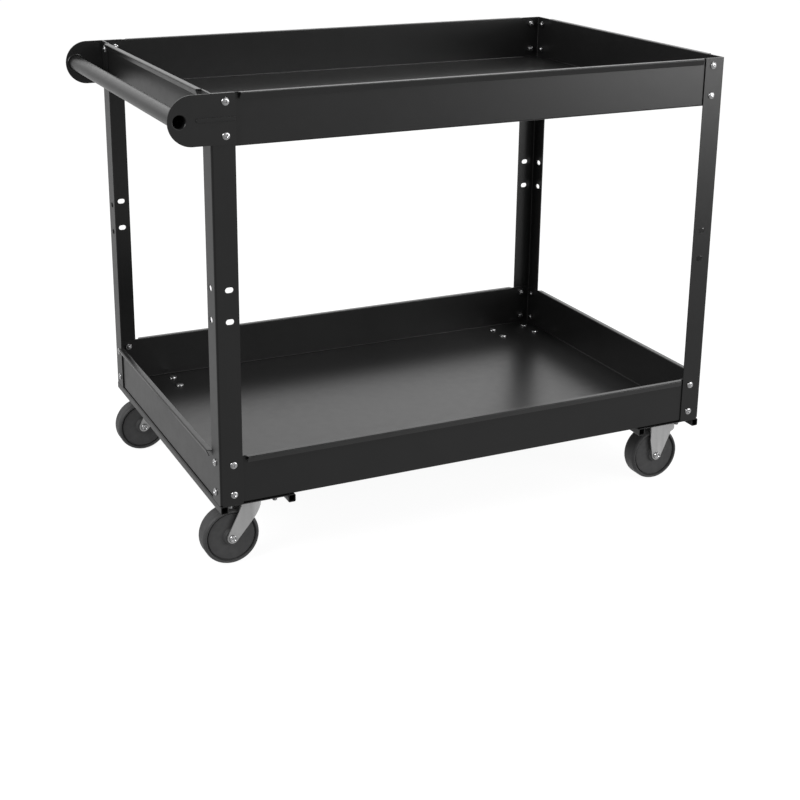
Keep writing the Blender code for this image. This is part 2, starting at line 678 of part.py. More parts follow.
def swivel_plate_mesh():
    """The bolted plate with its upper race and the kingpin riveted into it."""
    race_radius = BALL_CIRCLE + BALL_RADIUS
    pin_head_top = CROWN_BOTTOM - GAP
    profile = [
        (0, PLATE_BOTTOM + PLATE_SHEET / 2),
        (race_radius, PLATE_BOTTOM + PLATE_SHEET / 2),
        (race_radius, RACE_BOTTOM),
        (KINGPIN_RADIUS, RACE_BOTTOM),
        (KINGPIN_RADIUS, pin_head_top),
        (KINGPIN_HEAD_RADIUS, pin_head_top),
        (KINGPIN_HEAD_RADIUS, pin_head_top - 0.4 * KINGPIN_HEAD_HEIGHT),
        (0.5 * KINGPIN_HEAD_RADIUS, pin_head_top - KINGPIN_HEAD_HEIGHT),
        (0, pin_head_top - KINGPIN_HEAD_HEIGHT),
    ]
    race = turned_mesh("race", profile, 16)
    return finished(combined(bolted_plate_mesh("swivel_plate"), "UNION", [race]), ZINC, 30)


def fork_walls_mesh(name, side_outline, front, rear, top):
    """Both fork legs and the round skirt that joins them at the front, in one thickness of sheet.

    The walls follow a U seen from above, whose round end is centred on X = front. The side outline, in X and Z,
    is what is left of them seen from the side.
    """
    line = [(rear, FORK_OUTER)] + arc((front, 0), FORK_OUTER, 90, -90, 14) + [(rear, -FORK_OUTER)]
    walls = moved(flat_mesh(name, [strip_outline(line, -FORK_SHEET)], 2 * top), (0, 0, top / 2))
    side = flat_mesh("side", [side_outline], 4 * FORK_OUTER)
    side.transform(Matrix.Rotation(math.radians(90), 4, "X"))
    return combined(walls, "INTERSECT", [side])


def axle_hole(x):
    hole = prism_mesh("axle_hole", AXLE_RADIUS + RUNNING_GAP, 4 * FORK_OUTER, 12)
    return moved(hole, (x, 0, AXLE_HEIGHT), Matrix.Rotation(math.radians(90), 4, "X"))


def swivel_fork_mesh():
    """The fork that turns on the kingpin. The swivel axis is the Z axis and the axle lies behind it."""
    axle = (-TRAIL, AXLE_HEIGHT)
    front = FORK_OUTER + GAP
    skirt = (front, AXLE_HEIGHT + SWIVEL_SKIRT_RISE)
    rear_top = (-SWIVEL_BACK, CROWN_TOP)
    start = tangent_angle(axle, FORK_END_RADIUS, skirt, -1)
    end = tangent_angle(axle, FORK_END_RADIUS, rear_top, 1) - 360
    outline = arc(axle, FORK_END_RADIUS, start, end, 10) + [rear_top, (front, CROWN_TOP), skirt]
    walls = fork_walls_mesh("swivel_fork", outline, 0, -TRAIL - 2 * FORK_END_RADIUS, CROWN_TOP)

    crown_radius = BALL_CIRCLE + BALL_RADIUS + RUNNING_GAP + CUP_WALL
    cup_radius = crown_radius - CUP_WALL
    hole_radius = KINGPIN_RADIUS + RUNNING_GAP
    cup_top = BALL_HEIGHT + 0.5 * BALL_RADIUS
    profile = [
        (cup_radius, cup_top),
        (crown_radius, cup_top),
        (crown_radius, CROWN_BOTTOM),
        (hole_radius, CROWN_BOTTOM),
        (hole_radius, CROWN_TOP),
        (cup_radius, CROWN_TOP),
    ]
    crown = turned_mesh("crown", profile, RING_STEPS, closed=True)
    bridge_half = FORK_OUTER - GAP
    bridge_outline = [(-SWIVEL_BACK + GAP, -bridge_half), (0, -bridge_half), (0, bridge_half),
                      (-SWIVEL_BACK + GAP, bridge_half)]
    bridge_hole = circle((0, 0), crown_radius - CUP_WALL / 2, RING_STEPS)
    bridge = moved(flat_mesh("bridge", [bridge_outline], FORK_SHEET - GAP), (0, 0, CROWN_TOP - FORK_SHEET / 2))
    plug = moved(flat_mesh("plug", [bridge_hole], 4 * FORK_SHEET), (0, 0, CROWN_TOP))
    bridge = combined(bridge, "DIFFERENCE", [plug])
    fork = combined(walls, "UNION", [crown, bridge])
    return finished(combined(fork, "DIFFERENCE", [axle_hole(-TRAIL)]), ZINC, 30)


def rigid_fork_mesh():
    """A bolted plate and a fixed fork in one piece. The axle is on the Z axis."""
    axle = (0, AXLE_HEIGHT)
    top = PLATE_BOTTOM + PLATE_SHEET / 2
    front = RIGID_FRONT + FORK_OUTER + GAP
    rear_knee = (-RIGID_BACK, AXLE_HEIGHT + RIGID_BACK_RISE)
    knee = (RIGID_KNEE, AXLE_HEIGHT + RIGID_KNEE_RISE)
    start = tangent_angle(axle, FORK_END_RADIUS, knee, -1)
    end = tangent_angle(axle, FORK_END_RADIUS, rear_knee, 1) - 360
    outline = arc(axle, FORK_END_RADIUS, start, end, 10)
    outline += [rear_knee, (-RIGID_BACK, top), (front, top), (front, AXLE_HEIGHT + RIGID_SKIRT_RISE), knee]
    walls = fork_walls_mesh("rigid_fork", outline, RIGID_FRONT, -2 * RIGID_BACK, top)
    fork = combined(bolted_plate_mesh("rigid_fork"), "UNION", [walls])
    return finished(combined(fork, "DIFFERENCE", [axle_hole(0)]), ZINC, 30)


def ball_ring_mesh():
    """The ring of balls between the races, as one ring."""
    section = [(BALL_CIRCLE + x, z) for x, z in circle((0, 0), BALL_RADIUS, ROUND_STEPS)]
    return finished(turned_mesh("ball_ring", section[::-1], 16, closed=True), ZINC, 60)


def wheel_mesh():
    """A solid wheel about Z: round-shouldered tread, grooved rim, dished face and a hub with a plain bore."""
    rim = WHEEL_WIDTH / 2
    half_profile = [
        (SLEEVE_RADIUS + RUNNING_GAP, HUB_HALF),
        (HUB_RADIUS, HUB_HALF),
        (HUB_RADIUS + HUB_DRAFT, rim - WHEEL_DISH),
        (DISH_RADIUS, rim - WHEEL_DISH + WHEEL_DISH_SLOPE),
        (RIM_INNER_RADIUS, rim),
        (RIM_OUTER_RADIUS, rim),
        (WHEEL_RADIUS, rim - WHEEL_SHOULDER),
    ]
    lower_half = [(radius, -height) for radius, height in half_profile[::-1]]
    return finished(turned_mesh("wheel", half_profile + lower_half, WHEEL_STEPS, closed=True), RUBBER, 25)


def axle_mesh():
    """Axle bolt with its spacer tube and nut, along Z. The head is at +Z."""
    head = FORK_OUTER + GAP
    sleeve = FORK_INNER - GAP
    nut_end = -head - NUT_HEIGHT
    end = nut_end - SCREW_END
    profile = [
        (0, head + AXLE_HEAD_HEIGHT),
        (0.75 * AXLE_HEAD_RADIUS, head + AXLE_HEAD_HEIGHT),
        (AXLE_HEAD_RADIUS, head + 0.6 * AXLE_HEAD_HEIGHT),
        (AXLE_HEAD_RADIUS, head),
        (AXLE_RADIUS, head),
        (AXLE_RADIUS, sleeve),
        (SLEEVE_RADIUS, sleeve),
        (SLEEVE_RADIUS, -sleeve),
        (AXLE_RADIUS, -sleeve),
        (AXLE_RADIUS, end),
        (0, end),
    ]
    axle = turned_mesh("axle", profile, 12)
    nut = moved(prism_mesh("nut", AXLE_HEAD_RADIUS, NUT_HEIGHT, 6), (0, 0, -head - NUT_HEIGHT / 2))
    return finished(combined(axle, "UNION", [nut]), ZINC, 40)


def add_casters():
    quarter = math.radians(90)
    meshes = {
        "plate": swivel_plate_mesh(),
        "ball_ring": ball_ring_mesh(),
        "swivel_fork": swivel_fork_mesh(),
        "rigid_fork": rigid_fork_mesh(),
        "wheel": wheel_mesh(),
        "axle": axle_mesh(),
    }
    for corner, (side_x, side_y) in CORNERS.items():
        pin = (side_x * CASTER_X, side_y * CASTER_Y, 0)
        if side_x < 0:
            swivel = add_empty(f"swivel_axis_{corner}", pin, CART)
            add_part(f"swivel_plate_{corner}", meshes["plate"], pin)
            add_part(f"ball_ring_{corner}", meshes["ball_ring"], (*pin[:2], BALL_HEIGHT))
            add_part(f"swivel_fork_{corner}", meshes["swivel_fork"], parent=swivel)
            hub = (-TRAIL, 0, AXLE_HEIGHT)
        else:
            swivel = CART
            add_part(f"rigid_fork_{corner}", meshes["rigid_fork"], pin)
            hub = (*pin[:2], AXLE_HEIGHT)
        add_part(f"wheel_{corner}", meshes["wheel"], hub, (quarter, 0, 0), swivel)
        add_part(f"axle_{corner}", meshes["axle"], hub, (quarter, 0, 0), swivel)


# ---------------------------------------------------------------- the cart
clear_scene()
PARTS = new_collection("rolling_utility_cart")
CUTTERS = new_collection("cutters")
CHARCOAL = new_material("charcoal_powder_coat", (0.030, 0.030, 0.031), 0.42, 0.0)
ZINC = new_material("zinc_plate", (0.55, 0.55, 0.54), 0.32, 1.0)
RUBBER = new_material("grey_rubber", (0.055, 0.055, 0.056), 0.60, 0.0)
CART = add_empty("cart", (MIDDLE_SHIFT, 0, 0))
add_posts()
add_trays()
add_screws()
add_handle()
add_channels()
add_casters()
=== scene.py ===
"""Looks of the rolling utility cart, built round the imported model.

Every folded sheet, fastener, fork and wheel is made again here with smooth bends, rounded edges, recesses and
threads. Metres, +Z up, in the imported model's frame: the handle is at -X and -Y is the front.
"""

import math

import bmesh
import bpy
from mathutils import Matrix, Vector


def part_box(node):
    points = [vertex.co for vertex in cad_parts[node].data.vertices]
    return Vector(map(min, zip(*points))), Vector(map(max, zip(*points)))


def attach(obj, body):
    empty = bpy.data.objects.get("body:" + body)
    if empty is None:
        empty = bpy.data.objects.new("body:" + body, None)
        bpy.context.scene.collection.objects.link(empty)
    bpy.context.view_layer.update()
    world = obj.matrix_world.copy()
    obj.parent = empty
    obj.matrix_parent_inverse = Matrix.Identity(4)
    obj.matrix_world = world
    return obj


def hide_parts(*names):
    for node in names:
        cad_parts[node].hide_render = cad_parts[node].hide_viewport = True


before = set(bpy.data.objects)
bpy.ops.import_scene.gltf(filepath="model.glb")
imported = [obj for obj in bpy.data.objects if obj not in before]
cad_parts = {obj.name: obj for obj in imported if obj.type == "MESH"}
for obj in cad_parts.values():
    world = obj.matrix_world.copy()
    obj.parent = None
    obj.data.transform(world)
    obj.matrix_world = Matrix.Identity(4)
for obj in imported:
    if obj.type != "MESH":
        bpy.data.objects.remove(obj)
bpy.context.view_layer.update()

# ---------------------------------------------------------------- places and sizes read from the frame
POST_LOW, POST_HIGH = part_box("post_front_left")
FAR_POST_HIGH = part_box("post_back_right")[1]
BRACKET_LOW, BRACKET_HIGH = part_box("handle_bracket_front")
TUBE_LOW, TUBE_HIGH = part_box("handle_tube")
TRAY_LOW, TRAY_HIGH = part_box("top_tray")
LOWER_TRAY_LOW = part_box("bottom_tray")[0]
CHANNEL_LOW, CHANNEL_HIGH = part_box("caster_channel_left")
WHEEL_LOW, WHEEL_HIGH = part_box("wheel_front_right")
PLATE_LOW, PLATE_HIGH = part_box("swivel_plate_front_left")
FORK_LOW, FORK_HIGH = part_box("swivel_fork_front_left")
BALLS_LOW, BALLS_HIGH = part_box("ball_ring_front_left")

MIDDLE_X = (POST_LOW.x + FAR_POST_HIGH.x) / 2
HALF_LENGTH = (FAR_POST_HIGH.x - POST_LOW.x) / 2
HALF_WIDTH = (FAR_POST_HIGH.y - POST_LOW.y) / 2
DECK = POST_LOW.z
CART_TOP = POST_HIGH.z
POST_LENGTH = CART_TOP - DECK
POST_FLANGE = POST_HIGH.x - POST_LOW.x
TRAY_HEIGHT = TRAY_HIGH.z - TRAY_LOW.z
BRACKET_HEIGHT = BRACKET_HIGH.z - BRACKET_LOW.z
HANDLE_RADIUS = (TUBE_HIGH.x - TUBE_LOW.x) / 2
HANDLE_MIDDLE = (TUBE_LOW + TUBE_HIGH) / 2
CHANNEL_WIDTH = CHANNEL_HIGH.x - CHANNEL_LOW.x
CHANNEL_DEPTH = CHANNEL_HIGH.z - CHANNEL_LOW.z
WHEEL_RADIUS = (WHEEL_HIGH.z - WHEEL_LOW.z) / 2
HUB_HALF = (WHEEL_HIGH.y - WHEEL_LOW.y) / 2
AXLE_HEIGHT = (WHEEL_LOW.z + WHEEL_HIGH.z) / 2
FORK_OUTER = (FORK_HIGH.y - FORK_LOW.y) / 2
PLATE_LENGTH = PLATE_HIGH.x - PLATE_LOW.x
PLATE_WIDTH = PLATE_HIGH.y - PLATE_LOW.y
CASTER_X = MIDDLE_X - (PLATE_LOW.x + PLATE_HIGH.x) / 2
CASTER_Y = -(PLATE_LOW.y + PLATE_HIGH.y) / 2
TRAIL = MIDDLE_X - CASTER_X - (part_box("wheel_front_left")[0].x + WHEEL_RADIUS)

# ---------------------------------------------------------------- sheet and fastener sizes
GAP = 0.0003
EDGE = 0.00035                 # rounding of a cut sheet edge
POST_SHEET = 0.0018
POST_BEND = 0.0035
POST_FOOT_CLIP = 0.0025
TRAY_SHEET = 0.0012
TRAY_BEND = 0.0025
RIM_REACH = 0.0095
RIM_DROP = 0.0105
RIM_TUCK = 0.0045
RIM_START = 0.0050
RIM_END_SLANT = 0.0035
RIM_BEND = 0.0017              # outer radius of the rim's folds
RIM_ROOT = 0.0060              # how far below its top the rim's sheet runs on as the wall
CHANNEL_SHEET = 0.0015
CHANNEL_BEND = 0.0022
HEM_WIDTH = 0.0127
SCREW_LINE = 0.0229
SCREW_DROP = 0.0127
SCREW_PITCH = 0.0508
SCREW_HOLE_RADIUS = 0.0036
SLOT_HEIGHTS = (0.3051, 0.3559)
SLOT_LENGTH = 0.0134
SLOT_WIDTH = 0.0090
BOLT_SPACING_X = 0.0762
BOLT_SPACING_Y = 0.0445
BOLT_HOLE_RADIUS = 0.0046
TRAY_INSET = POST_SHEET + GAP

BRACKET_SHEET = 0.0020
HANDLE_WALL = 0.0015
COLLAR_WALL = 0.0016
COLLAR_DEPTH = 0.0080
HOLE_FLARE = 0.0018
RUNNING_GAP = 0.0004
BEAD_WIDTH = 0.0024
BEAD_HEIGHT = 0.0010
RIB_WIDTH = 0.0066
RIB_HEIGHT = 0.0018
RIB_START = 0.0435

FORK_SHEET = 0.0025
FORK_END_RADIUS = 0.0090
SWIVEL_BACK = 0.0146
SWIVEL_SKIRT_RISE = 0.0520
RIGID_BACK = 0.0146
RIGID_BACK_RISE = 0.0300
RIGID_FRONT = 0.0250
RIGID_KNEE = 0.0282
RIGID_KNEE_RISE = 0.0424
RIGID_SKIRT_RISE = 0.0455
PLATE_SHEET = 0.0028
PLATE_CORNER = 0.0060
KINGPIN_RADIUS = 0.0055
KINGPIN_HEAD_RADIUS = 0.0090
KINGPIN_HEAD_HEIGHT = 0.0035
BALL_RADIUS = 0.0021
BALL_CIRCLE = 0.0165
BALLS = 20
CUP_WALL = 0.0020
RACE_HEIGHT = 0.0020
SLEEVE_RADIUS = 0.0060
AXLE_RADIUS = 0.0039
AXLE_HEAD_RADIUS = 0.0066
AXLE_HEAD_HEIGHT = 0.0034
AXLE_NUT_HEIGHT = 0.0045
AXLE_END = 0.0022
AXLE_DIMPLE = (                # radius, depth below the head's top, rounding
    (0.0012, 0.0007, 0.0006),
    (0.0022, 0.0017, 0.0004),
    (0.0034, 0.0015, 0.0004),
    (0.0042, 0.0000, 0.0004),
)
AXLE_DIMPLE_MIDDLE = 0.0006
RACE_PLAY = 0.0001

WHEEL_RIM_HALF = WHEEL_RADIUS / 3
WHEEL_HUB_RADIUS = 0.0130
WHEEL_HUB_DRAFT = 0.0012
WHEEL_DISH = 0.0032            # how far the face lies in from the rim
WHEEL_GROOVE = 0.0022          # how much deeper the groove is, just inside the rim
WHEEL_SHOULDER = 0.0050
FACE_EDGE = 0.828              # this and the next four are shares of the radius
GROOVE_INNER = 0.836
GROOVE_OUTER = 0.868
RIM_INNER = 0.882
RIM_OUTER = 0.950

THREAD_PITCH = 0.0008
THREAD_ROOT = 0.86             # the root's share of the crest's radius
TIP_CHAMFER = 0.0004
NUT_CHAMFER = 0.13             # share of the nut's radius
RECESS_WING = 0.26             # a wing's width, as a share of its length
RECESS_TAPER = (0.35, 0.70)    # length and width at its foot, as shares of those at its mouth
RECESS_DEPTH = 0.72            # share of the head's height
SCREW = {
    "head_radius": 0.0062,
    "head_height": 0.0026,
    "radius": 0.0029,
    "nut_radius": 0.0061,
    "nut_height": 0.0045,
    "nut_end": 0.0022,
    "recess": 0.0064,
}
CASTER_BOLT = {
    "head_radius": 0.0080,
    "head_height": 0.0030,
    "radius": 0.0038,
    "nut_radius": 0.0075,
    "nut_height": 0.0065,
    "nut_end": 0.0050,
    "recess": 0,
}

CORNERS = {"front_left": (-1, -1), "front_right": (1, -1), "back_left": (-1, 1), "back_right": (1, 1)}
FINE = 48                      # steps round holes and fasteners
FULL = 128                     # steps round wheels and the handle
QUARTER = math.radians(90)
WELD = 0.00001

# ---------------------------------------------------------------- camera, floor and lights
CAMERA_PLACE = (MIDDLE_X - 1.1266, -2.3244, 1.1450)
CAMERA_YAW = 0.4264
CAMERA_PITCH = -0.3003
CAMERA_ROLL = 0.0040
CAMERA_LENS = 66.33
CAMERA_SENSOR = 36
CAMERA_SHIFT = (0.0437, -0.1437)
FLOOR_REACH = 40
FLOOR_DROP = 0.0004
FLOOR_TONE = 0.18
FLOOR_GLOW = 0.93
BACKDROP_GLOW = 1.1
SURROUND = (                   # axis, its range in the direction looked along, and the light at each end
    ("Z", 0.10, 0.34, 1.00, 1.80),
    ("Z", 0.38, 0.64, 1.00, 0.30),
    ("Y", -0.50, 0.60, 0.48, 1.00),
    ("X", -0.40, 0.45, 0.56, 1.00),
)
SOFTBOXES = (                  # name, place, target, size, watts
    ("left_softbox", (-3.2, -1.2, 2.4), (0, 0, 0.5), (1.8, 1.8), 75),
    ("top_softbox", (1.2, 0.3, 3.2), (0.3, 0, 0.5), (1.5, 1.5), 40),
    ("right_softbox", (2.4, -2.7, 0.75), (0.4, -0.3, 0.7), (1.1, 1.1), 20),
    ("front_softbox", (1.7, -3.6, 2.0), (0, 0, 0.3), (2.4, 1.2), 22),
)


# ---------------------------------------------------------------- shapes
def baked(holder):
    """The mesh of an object as its modifiers leave it. The object is removed."""
    graph = bpy.context.evaluated_depsgraph_get()
    mesh = bpy.data.meshes.new_from_object(holder.evaluated_get(graph))
    bpy.data.objects.remove(holder)
    return mesh


def held(mesh):
    holder = bpy.data.objects.new(mesh.name, mesh)
    bpy.context.scene.collection.objects.link(holder)
    return holder


def stored(name, shape):
    """The mesh of a bmesh, which is freed."""
    mesh = bpy.data.meshes.new(name)
    shape.to_mesh(mesh)
    shape.free()
    return mesh


def welded(mesh):
    shape = bmesh.new()
    shape.from_mesh(mesh)
    bmesh.ops.remove_doubles(shape, verts=shape.verts, dist=WELD)
    bmesh.ops.recalc_face_normals(shape, faces=shape.faces)
    shape.to_mesh(mesh)
    shape.free()
    return mesh


def moved(mesh, offset=(0, 0, 0), turn=None):
    """A copy of a mesh, turned about the origin and then moved."""
    copy = mesh.copy()
    copy.transform(Matrix.Translation(offset) @ (turn or Matrix.Identity(4)))
    return copy


def flat_mesh(name, loops, thickness):
    """A flat outline in XY, with any holes as further loops, centred on Z = 0."""
    curve = bpy.data.curves.new(name, "CURVE")
    curve.dimensions = "2D"
    curve.fill_mode = "BOTH"
    curve.extrude = thickness / 2
    for loop in loops:
        spline = curve.splines.new("POLY")
        spline.points.add(len(loop) - 1)
        for point, (x, y) in zip(spline.points, loop):
            point.co = (x, y, 0, 1)
        spline.use_cyclic_u = True
    holder = bpy.data.objects.new(name, curve)
    bpy.context.scene.collection.objects.link(holder)
    mesh = baked(holder)
    bpy.data.curves.remove(curve)
    flat = bmesh.new()
    flat.from_mesh(mesh)
    bmesh.ops.remove_doubles(flat, verts=flat.verts, dist=WELD)
    bmesh.ops.dissolve_limit(flat, angle_limit=math.radians(0.5), verts=flat.verts, edges=flat.edges)
    bmesh.ops.recalc_face_normals(flat, faces=flat.faces)
    flat.to_mesh(mesh)
    flat.free()
    return mesh


def turned_mesh(name, profile, steps, closed=False):
    """A profile of (radius, height) points, top to bottom, turned about Z."""
    shape = bmesh.new()
    points = [shape.verts.new((radius, 0, height)) for radius, height in profile]
    for start, end in zip(points, points[1:]):
        shape.edges.new((start, end))
    if closed:
        shape.edges.new((points[-1], points[0]))
    holder = held(stored(name, shape))
    screw = holder.modifiers.new("turn", "SCREW")
    screw.steps = steps
    screw.render_steps = steps
    screw.use_merge_vertices = True
    screw.merge_threshold = WELD
    return welded(baked(holder))


def prism_mesh(name, radius, height, steps):
    """A round bar or hexagon along Z, centred on Z = 0."""
    shape = bmesh.new()
    bmesh.ops.create_cone(
        shape, cap_ends=True, cap_tris=False, segments=steps, radius1=radius, radius2=radius, depth=height
    )
    return stored(name, shape)


def box_mesh(name, low, high):
    shape = bmesh.new()
    bmesh.ops.create_cube(shape, size=1)
    size = Vector(high) - Vector(low)
    bmesh.ops.scale(shape, verts=shape.verts, vec=size)
    bmesh.ops.translate(shape, verts=shape.verts, vec=(Vector(high) + Vector(low)) / 2)
    return stored(name, shape)


def combined(mesh, operation, tools):
    """Cuts tools out of a mesh, joins them to it, or keeps what they share."""
    body = held(mesh)
    cutters = []
    for tool in tools:
        cutter = held(tool)
        cutters.append(cutter)
        change = body.modifiers.new(operation.lower(), "BOOLEAN")
        change.operation = operation
        change.solver = "EXACT"
        change.object = cutter
    result = baked(body)
    for cutter in cutters:
        bpy.data.objects.remove(cutter)
    return result


def softened(mesh, width=EDGE, segments=2, angle=32):
    """Rounds a mesh's sharp edges and shades it smooth."""
    holder = held(mesh)
    mesh.shade_smooth()
    bevel = holder.modifiers.new("edges", "BEVEL")
    bevel.width = width
    bevel.segments = segments
    bevel.limit_method = "ANGLE"
    bevel.angle_limit = math.radians(angle)
    bevel.harden_normals = True
    bevel.use_clamp_overlap = True
    weighted = holder.modifiers.new("normals", "WEIGHTED_NORMAL")
    weighted.keep_sharp = True
    return baked(holder)


def smooth(mesh, angle=30):
    mesh.shade_smooth()
    mesh.set_sharp_from_angle(angle=math.radians(angle))
    return mesh


def arc(centre, radius, start, end, steps):
    """Points on an arc, from the start to the end angle in degrees."""
    points = []
    for step in range(steps + 1):
        angle = math.radians(start + (end - start) * step / steps)
        points.append((centre[0] + radius * math.cos(angle), centre[1] + radius * math.sin(angle)))
    return points


def circle(centre, radius, steps):
    return arc(centre, radius, 0, 360, steps)[:-1]


def rounded(path, steps=5):
    """A line whose corners given as (x, y, radius) are rounded. A plain (x, y) stays sharp."""
    points = [tuple(path[0][:2])]
    for before, corner, after in zip(path, path[1:], path[2:]):
        here = Vector(corner[:2])
        if len(corner) < 3:
            points.append(tuple(here))
            continue
        back = (Vector(before[:2]) - here).normalized()
        ahead = (Vector(after[:2]) - here).normalized()
        half = back.angle(ahead) / 2
        centre = here + (back + ahead).normalized() * corner[2] / math.sin(half)
        first = here + back * corner[2] / math.tan(half) - centre
        last = here + ahead * corner[2] / math.tan(half) - centre
        start = math.atan2(first.y, first.x)
        sweep = (math.atan2(last.y, last.x) - start + math.pi) % math.tau - math.pi
        points += arc(centre, corner[2], math.degrees(start), math.degrees(start + sweep), steps)
    points.append(tuple(path[-1][:2]))
    return points


def strip_outline(line, thickness):
    """The outline of a folded strip: an open line and its parallel on the left, mitred at the folds."""
    points = [Vector(point) for point in line]
    inner = []
    for index, point in enumerate(points):
        before = points[index] - points[index - 1] if index else points[1] - points[0]
        after = points[index + 1] - points[index] if index + 1 < len(points) else before
        left_before = Vector((-before.y, before.x)).normalized()
        left_after = Vector((-after.y, after.x)).normalized()
        corner = (left_before + left_after).normalized()
        inner.append(point + corner * thickness / corner.dot(left_before))
    return [tuple(point) for point in points + inner[::-1]]


def tangent_angle(centre, radius, point, side):
    """Angle in degrees, on a circle, where the line from an outside point touches it."""
    across = Vector(point) - Vector(centre)
    opening = math.acos(radius / across.length)
    return math.degrees(math.atan2(across.y, across.x) + side * opening)


def turn_about(axis, degrees):
    return Matrix.Rotation(math.radians(degrees), 4, axis)


def add_piece(name, mesh, material, body, place, turn=None, replaces=()):
    """One visible piece with its material, riding on a body of the frame; the CAD parts it replaces are
    hidden.
    """
    if material.name not in mesh.materials:
        mesh.materials.clear()
        mesh.materials.append(material)
    piece = bpy.data.objects.new(name, mesh)
    bpy.context.scene.collection.objects.link(piece)
    piece.matrix_world = Matrix.Translation(place) @ (turn or Matrix.Identity(4))
    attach(piece, body)
    if replaces:
        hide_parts(*replaces)


# ---------------------------------------------------------------- materials
def new_material(name):
    material = bpy.data.materials.new(name)
    material.use_nodes = True
    return material, material.node_tree.nodes, material.node_tree.links


def noise(nodes, links, scale, detail, stretch=(1, 1, 1)):
    """Noise over the object's own coordinates, in metres."""
    coordinates = nodes.new("ShaderNodeTexCoord")
    mapping = nodes.new("ShaderNodeMapping")
    mapping.inputs["Scale"].default_value = stretch
    texture = nodes.new("ShaderNodeTexNoise")
    texture.inputs["Scale"].default_value = scale
    texture.inputs["Detail"].default_value = detail
    links.new(coordinates.outputs["Object"], mapping.inputs["Vector"])
    links.new(mapping.outputs["Vector"], texture.inputs["Vector"])
    return texture.outputs["Fac"]


def ranged(nodes, links, value, low, high, out_low, out_high):
    change = nodes.new("ShaderNodeMapRange")
    change.inputs["From Min"].default_value = low
    change.inputs["From Max"].default_value = high
    change.inputs["To Min"].default_value = out_low
    change.inputs["To Max"].default_value = out_high
    links.new(value, change.inputs["Value"])
    return change.outputs["Result"]


def multiplied(nodes, links, first, second):
    product = nodes.new("ShaderNodeMath")
    product.operation = "MULTIPLY"
    links.new(first, product.inputs[0])
    links.new(second, product.inputs[1])
    return product.outputs["Value"]


def mixed(nodes, links, share, first, second):
    mix = nodes.new("ShaderNodeMix")
    mix.data_type = "RGBA"
    for socket, colour in (("A", first), ("B", second)):
        target = [s for s in mix.inputs if s.name == socket and s.type == "RGBA"][0]
        if isinstance(colour, tuple):
            target.default_value = (*colour, 1)
        else:
            links.new(colour, target)
    links.new(share, mix.inputs["Factor"])
    return [s for s in mix.outputs if s.type == "RGBA"][0]


def edge_share(nodes, links, radius):
    """1 along outward edges, 0 on flat surfaces."""
    bevel = nodes.new("ShaderNodeBevel")
    bevel.samples = 4
    bevel.inputs["Radius"].default_value = radius
    geometry = nodes.new("ShaderNodeNewGeometry")
    dot = nodes.new("ShaderNodeVectorMath")
    dot.operation = "DOT_PRODUCT"
    links.new(bevel.outputs["Normal"], dot.inputs[0])
    links.new(geometry.outputs["Normal"], dot.inputs[1])
    return ranged(nodes, links, dot.outputs["Value"], 0.995, 0.90, 0.0, 1.0)


def surface(name, metallic, specular, mottle, colours, rubbed, roughness, grain):
    """A material with mottled colour, edges rubbed lighter, uneven roughness and a fine grain.

    mottle: noise scale, detail, stretch and the noise's low and high. colours: at its low and high.
    rubbed: an edge radius and its colour, or None. roughness: noise scale, detail, and its range.
    grain: noise scale, bump strength and distance.
    """
    material, nodes, links = new_material(name)
    shader = nodes["Principled BSDF"]
    shader.inputs["Metallic"].default_value = metallic
    shader.inputs["Specular IOR Level"].default_value = specular
    scale, detail, stretch, low, high = mottle
    patches = ranged(nodes, links, noise(nodes, links, scale, detail, stretch), low, high, 0.0, 1.0)
    colour = mixed(nodes, links, patches, *colours)
    if rubbed:
        radius, edge_colour = rubbed
        colour = mixed(nodes, links, edge_share(nodes, links, radius), colour, edge_colour)
    links.new(colour, shader.inputs["Base Color"])
    scale, detail, smoothest, roughest = roughness
    uneven = ranged(nodes, links, noise(nodes, links, scale, detail), 0.3, 0.7, smoothest, roughest)
    links.new(uneven, shader.inputs["Roughness"])
    scale, strength, distance = grain
    bump = nodes.new("ShaderNodeBump")
    bump.inputs["Strength"].default_value = strength
    bump.inputs["Distance"].default_value = distance
    links.new(noise(nodes, links, scale, 2), bump.inputs["Height"])
    links.new(bump.outputs["Normal"], shader.inputs["Normal"])
    return material


def powder_coat():
    """Satin charcoal powder coat: fine orange peel, faint mottling and edges rubbed a little lighter."""
    return surface(
        "powder_coat",
        metallic=0.0,
        specular=0.5,
        mottle=(14, 4, (1, 1, 1), 0.3, 0.7),
        colours=((0.0080, 0.0080, 0.0081), (0.0100, 0.0100, 0.0101)),
        rubbed=(0.0006, (0.026, 0.026, 0.0265)),
        roughness=(60, 3, 0.30, 0.33),
        grain=(900, 0.08, 0.00005),
    )


def bright_zinc():
    """Bright zinc plate on fasteners, with faint spots and a fine grain."""
    return surface(
        "bright_zinc",
        metallic=1.0,
        specular=0.5,
        mottle=(500, 3, (1, 1, 1), 0.35, 0.65),
        colours=((0.50, 0.50, 0.51), (0.64, 0.64, 0.64)),
        rubbed=None,
        roughness=(900, 2, 0.14, 0.24),
        grain=(2200, 0.10, 0.00005),
    )


def dull_zinc():
    """Matte zinc-plated sheet of the forks and caster plates, with faint rolling streaks."""
    return surface(
        "dull_zinc",
        metallic=0.85,
        specular=0.5,
        mottle=(130, 4, (1, 1, 0.12), 0.3, 0.7),
        colours=((0.52, 0.52, 0.52), (0.60, 0.60, 0.60)),
        rubbed=(0.0005, (0.70, 0.70, 0.70)),
        roughness=(260, 3, 0.46, 0.58),
        grain=(1100, 0.10, 0.00008),
    )


